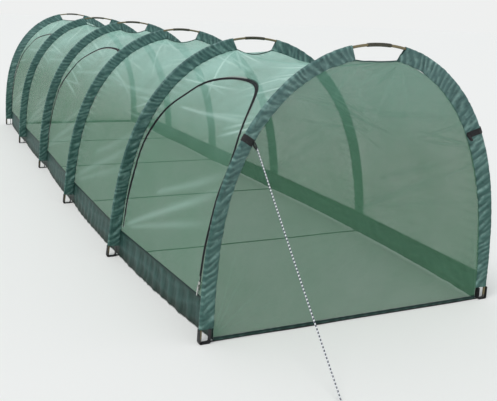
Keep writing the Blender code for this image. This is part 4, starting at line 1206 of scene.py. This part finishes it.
for hoop, way, word in ((0, -1, "front"), (5, 1, "rear")):
    mesh = grid_mesh(f"{word}_net_wall", *end_sheet(hoop, way))
    net = place_piece(f"{word}_net_wall", mesh, end_cloth, "tunnel", f"{word}_end_net")
    name, node = f"{word}_hem_strip", f"{word}_hem"
    mesh = grid_mesh(name, *hem_sheet(hoop, way))
    hem = place_piece(name, mesh, skirt_cloth, "tunnel", node)
    cloth_wall(hem, HEM_CLOTH)


# Ground cords. A black cord across the ground under each hoop keeps its feet from spreading, and
# ends in a loop of webbing under each foot, sewn to the sleeve's end, which also takes a peg.

LOOP_INNER = 0.028
LOOP_HALF_WIDTH = 0.010
LOOP_THICKNESS = 0.0014
CORD_RADIUS = 0.002
CORD_POINTS = 161
LOOP_OUTER = 0.0056
RIB_STEP = 0.0012
STRAP_CORD_STEP = 0.0022


def rounded_path(corners, radius, step):
    """Points step apart along straight lines through the corners, each corner turned on a curve
    that starts radius before it and ends radius after it: the mix (1-q)^2, 2q(1-q), q^2."""
    corners = np.asarray(corners, float)
    pieces = [corners[:1]]
    q = np.linspace(0, 1, 8)[:, None]
    for before, here, after in zip(corners, corners[1:], corners[2:]):
        a = here + (before - here) * min(radius / np.linalg.norm(before - here), 0.49)
        b = here + (after - here) * min(radius / np.linalg.norm(after - here), 0.49)
        pieces.append(a * (1 - q) ** 2 + here * 2 * q * (1 - q) + b * q**2)
    pieces.append(corners[-1:])
    path = np.concatenate(pieces)
    run = run_along(path)
    even = np.linspace(0, run[-1], max(int(run[-1] / step), 2))
    return np.stack([np.interp(even, run, path[:, axis]) for axis in range(path.shape[1])], -1)


def strap_ribbon(path, across, half_width, thickness):
    """A flat strap with softly rounded edges along a path; across is the way of its width. The
    outline is a long oval; UVs are metres along and across."""
    out = unit(np.cross(unit(np.gradient(path, axis=0)), across))
    angle = 2 * np.pi * (np.arange(20) + 0.5) / 20
    wide = half_width * np.sign(np.cos(angle)) * np.abs(np.cos(angle)) ** 0.35
    thick = thickness / 2 * np.sign(np.sin(angle)) * np.abs(np.sin(angle)) ** 0.6
    rings = path[:, None] + wide[None, :, None] * np.asarray(across)
    return capped_run(path, rings + thick[None, :, None] * out[:, None], wide)


def joined(shapes):
    """Several shapes of points, faces and UVs as one."""
    points, faces, uvs, start = [], [], [], 0
    for shape, cells, uv in shapes:
        points.append(shape)
        faces += [tuple(corner + start for corner in cell) for cell in cells]
        uvs.append(uv)
        start += len(shape)
    return np.concatenate(points), faces, np.concatenate(uvs)


def webbing_finish():
    """Black woven strap: ribs across it every 1.2 mm over lengthwise cords 2.2 mm apart, dusty in
    places."""
    finish, tree, shader = new_finish("webbing_black", (0.012, 0.012, 0.014), 0.62)
    along, across = uv_parts(tree)
    ribs = along.sine(2 * math.pi / RIB_STEP)
    cords = across.sine(2 * math.pi / STRAP_CORD_STEP)
    dust = placed(tree, mottle, Scale=140.0, Detail=4.0, Roughness=0.7, Limit=0.60)["Flecks"]
    colour = colour_mix(dust * 0.35, (0.011, 0.011, 0.013), (0.07, 0.068, 0.06))
    dress(shader, colour, ribs * cords.step("MULTIPLY_ADD", 0.5, 0.6), 0.0003)
    return finish


webbing = webbing_finish()
for hoop in range(6):
    foot = rod_at(hoop, np.array(HALF_ROD))[0][0]
    place, out = rod_at(hoop, np.array(SLEEVE_STOP + 0.0003))
    half = LOOP_THICKNESS / 2
    shapes = []
    for side in (-1, 1):
        high_out, high_in = place + out * (LOOP_OUTER - half), place - out * (LOOP_INNER - half)
        corners = [(high_out[0], high_out[2]), (foot + LOOP_OUTER - half, half)]
        corners += [(foot - LOOP_INNER + half, half), (high_in[0], high_in[2])]
        flat = rounded_path(corners, 0.006, 0.0015)
        path = np.stack((side * flat[:, 0], np.full(len(flat), hoop_y(hoop)), flat[:, 1]), -1)
        shapes.append(strap_ribbon(path, (0.0, 1.0, 0.0), LOOP_HALF_WIDTH, LOOP_THICKNESS))
    reach = foot - LOOP_INNER + 0.002
    x = np.linspace(-reach, reach, CORD_POINTS)
    sway = 0.004 * slow_noise(x + 1, 900 + hoop, 0.2) * ramp((reach - np.abs(x)) / 0.1)
    cord = np.stack((x, hoop_y(hoop) + sway, np.full(CORD_POINTS, CORD_RADIUS)), -1)
    shapes.append(swept_tube(cord, CORD_RADIUS, 10))
    name, node = f"foot_cord_{hoop + 1}", f"ground_cord_{hoop + 1}"
    place_solid(name, joined(shapes), webbing, "tunnel", node)


# Guy bands. Webbing of 20 mm sewn round the front sleeve on each side and into its seam, with a
# narrow loop at its inner edge that the guy rope pulls forward.

BAND_LIFT = 0.0022
BAND_HALF_WIDTH = 0.010
BAND_THICKNESS = 0.0014
NARROW_HALF_WIDTH = 0.0035
NARROW_THICKNESS = 0.0013
LOOP_RADIUS = 0.0032


def band_path(side):
    """The line of a band round the fin from face to face, with the loop's path after it: an oval
    from the fin's seam to where the rope starts. Each comes with the way of its width."""
    out, across, depth = fin_profile(60)
    keep = depth < 0.95
    out, across, depth = out[keep], across[keep], depth[keep]
    ahead = unit(np.stack((np.gradient(out), np.gradient(across)), -1))
    s = np.full(len(out), side * BAND_PLACE)
    place, outward_way = rod_at(0, s)
    sway = seam_sway(0, s)
    path = place + outward_way * (out + BAND_LIFT * ahead[:, 1])[:, None]
    path[:, 1] += across - BAND_LIFT * ahead[:, 0] + sway * depth
    beyond, before = rod_at(0, side * (BAND_PLACE + np.array((0.01, -0.01))))[0]
    along = unit(beyond - before)
    start = place[0] - outward_way[0] * 0.035 - along * 0.004
    start[1] += sway[0] - 0.004
    end = np.array((-side * GUY_START[0], GUY_START[1], GUY_START[2])) + along * 0.003
    long = unit(end - start)
    width = unit(outward_way[0] - long * (outward_way[0] @ long))
    angle = np.linspace(-math.pi, math.pi, 41)[:, None]
    reach = np.linalg.norm(end - start) / 2 + LOOP_RADIUS
    short = np.cross(long, width)
    loop = (start + end) / 2 + long * reach * np.cos(angle) + short * LOOP_RADIUS * np.sin(angle)
    return path, along, loop, width


for side, word in ((-1, "left"), (1, "right")):
    path, along, loop, width = band_path(side)
    strap = strap_ribbon(path, along, BAND_HALF_WIDTH, BAND_THICKNESS)
    narrow = strap_ribbon(loop, width, NARROW_HALF_WIDTH, NARROW_THICKNESS)
    node = f"{word}_guy_band"
    place_solid(f"{word}_band", joined((strap, narrow)), webbing, "tunnel", node)
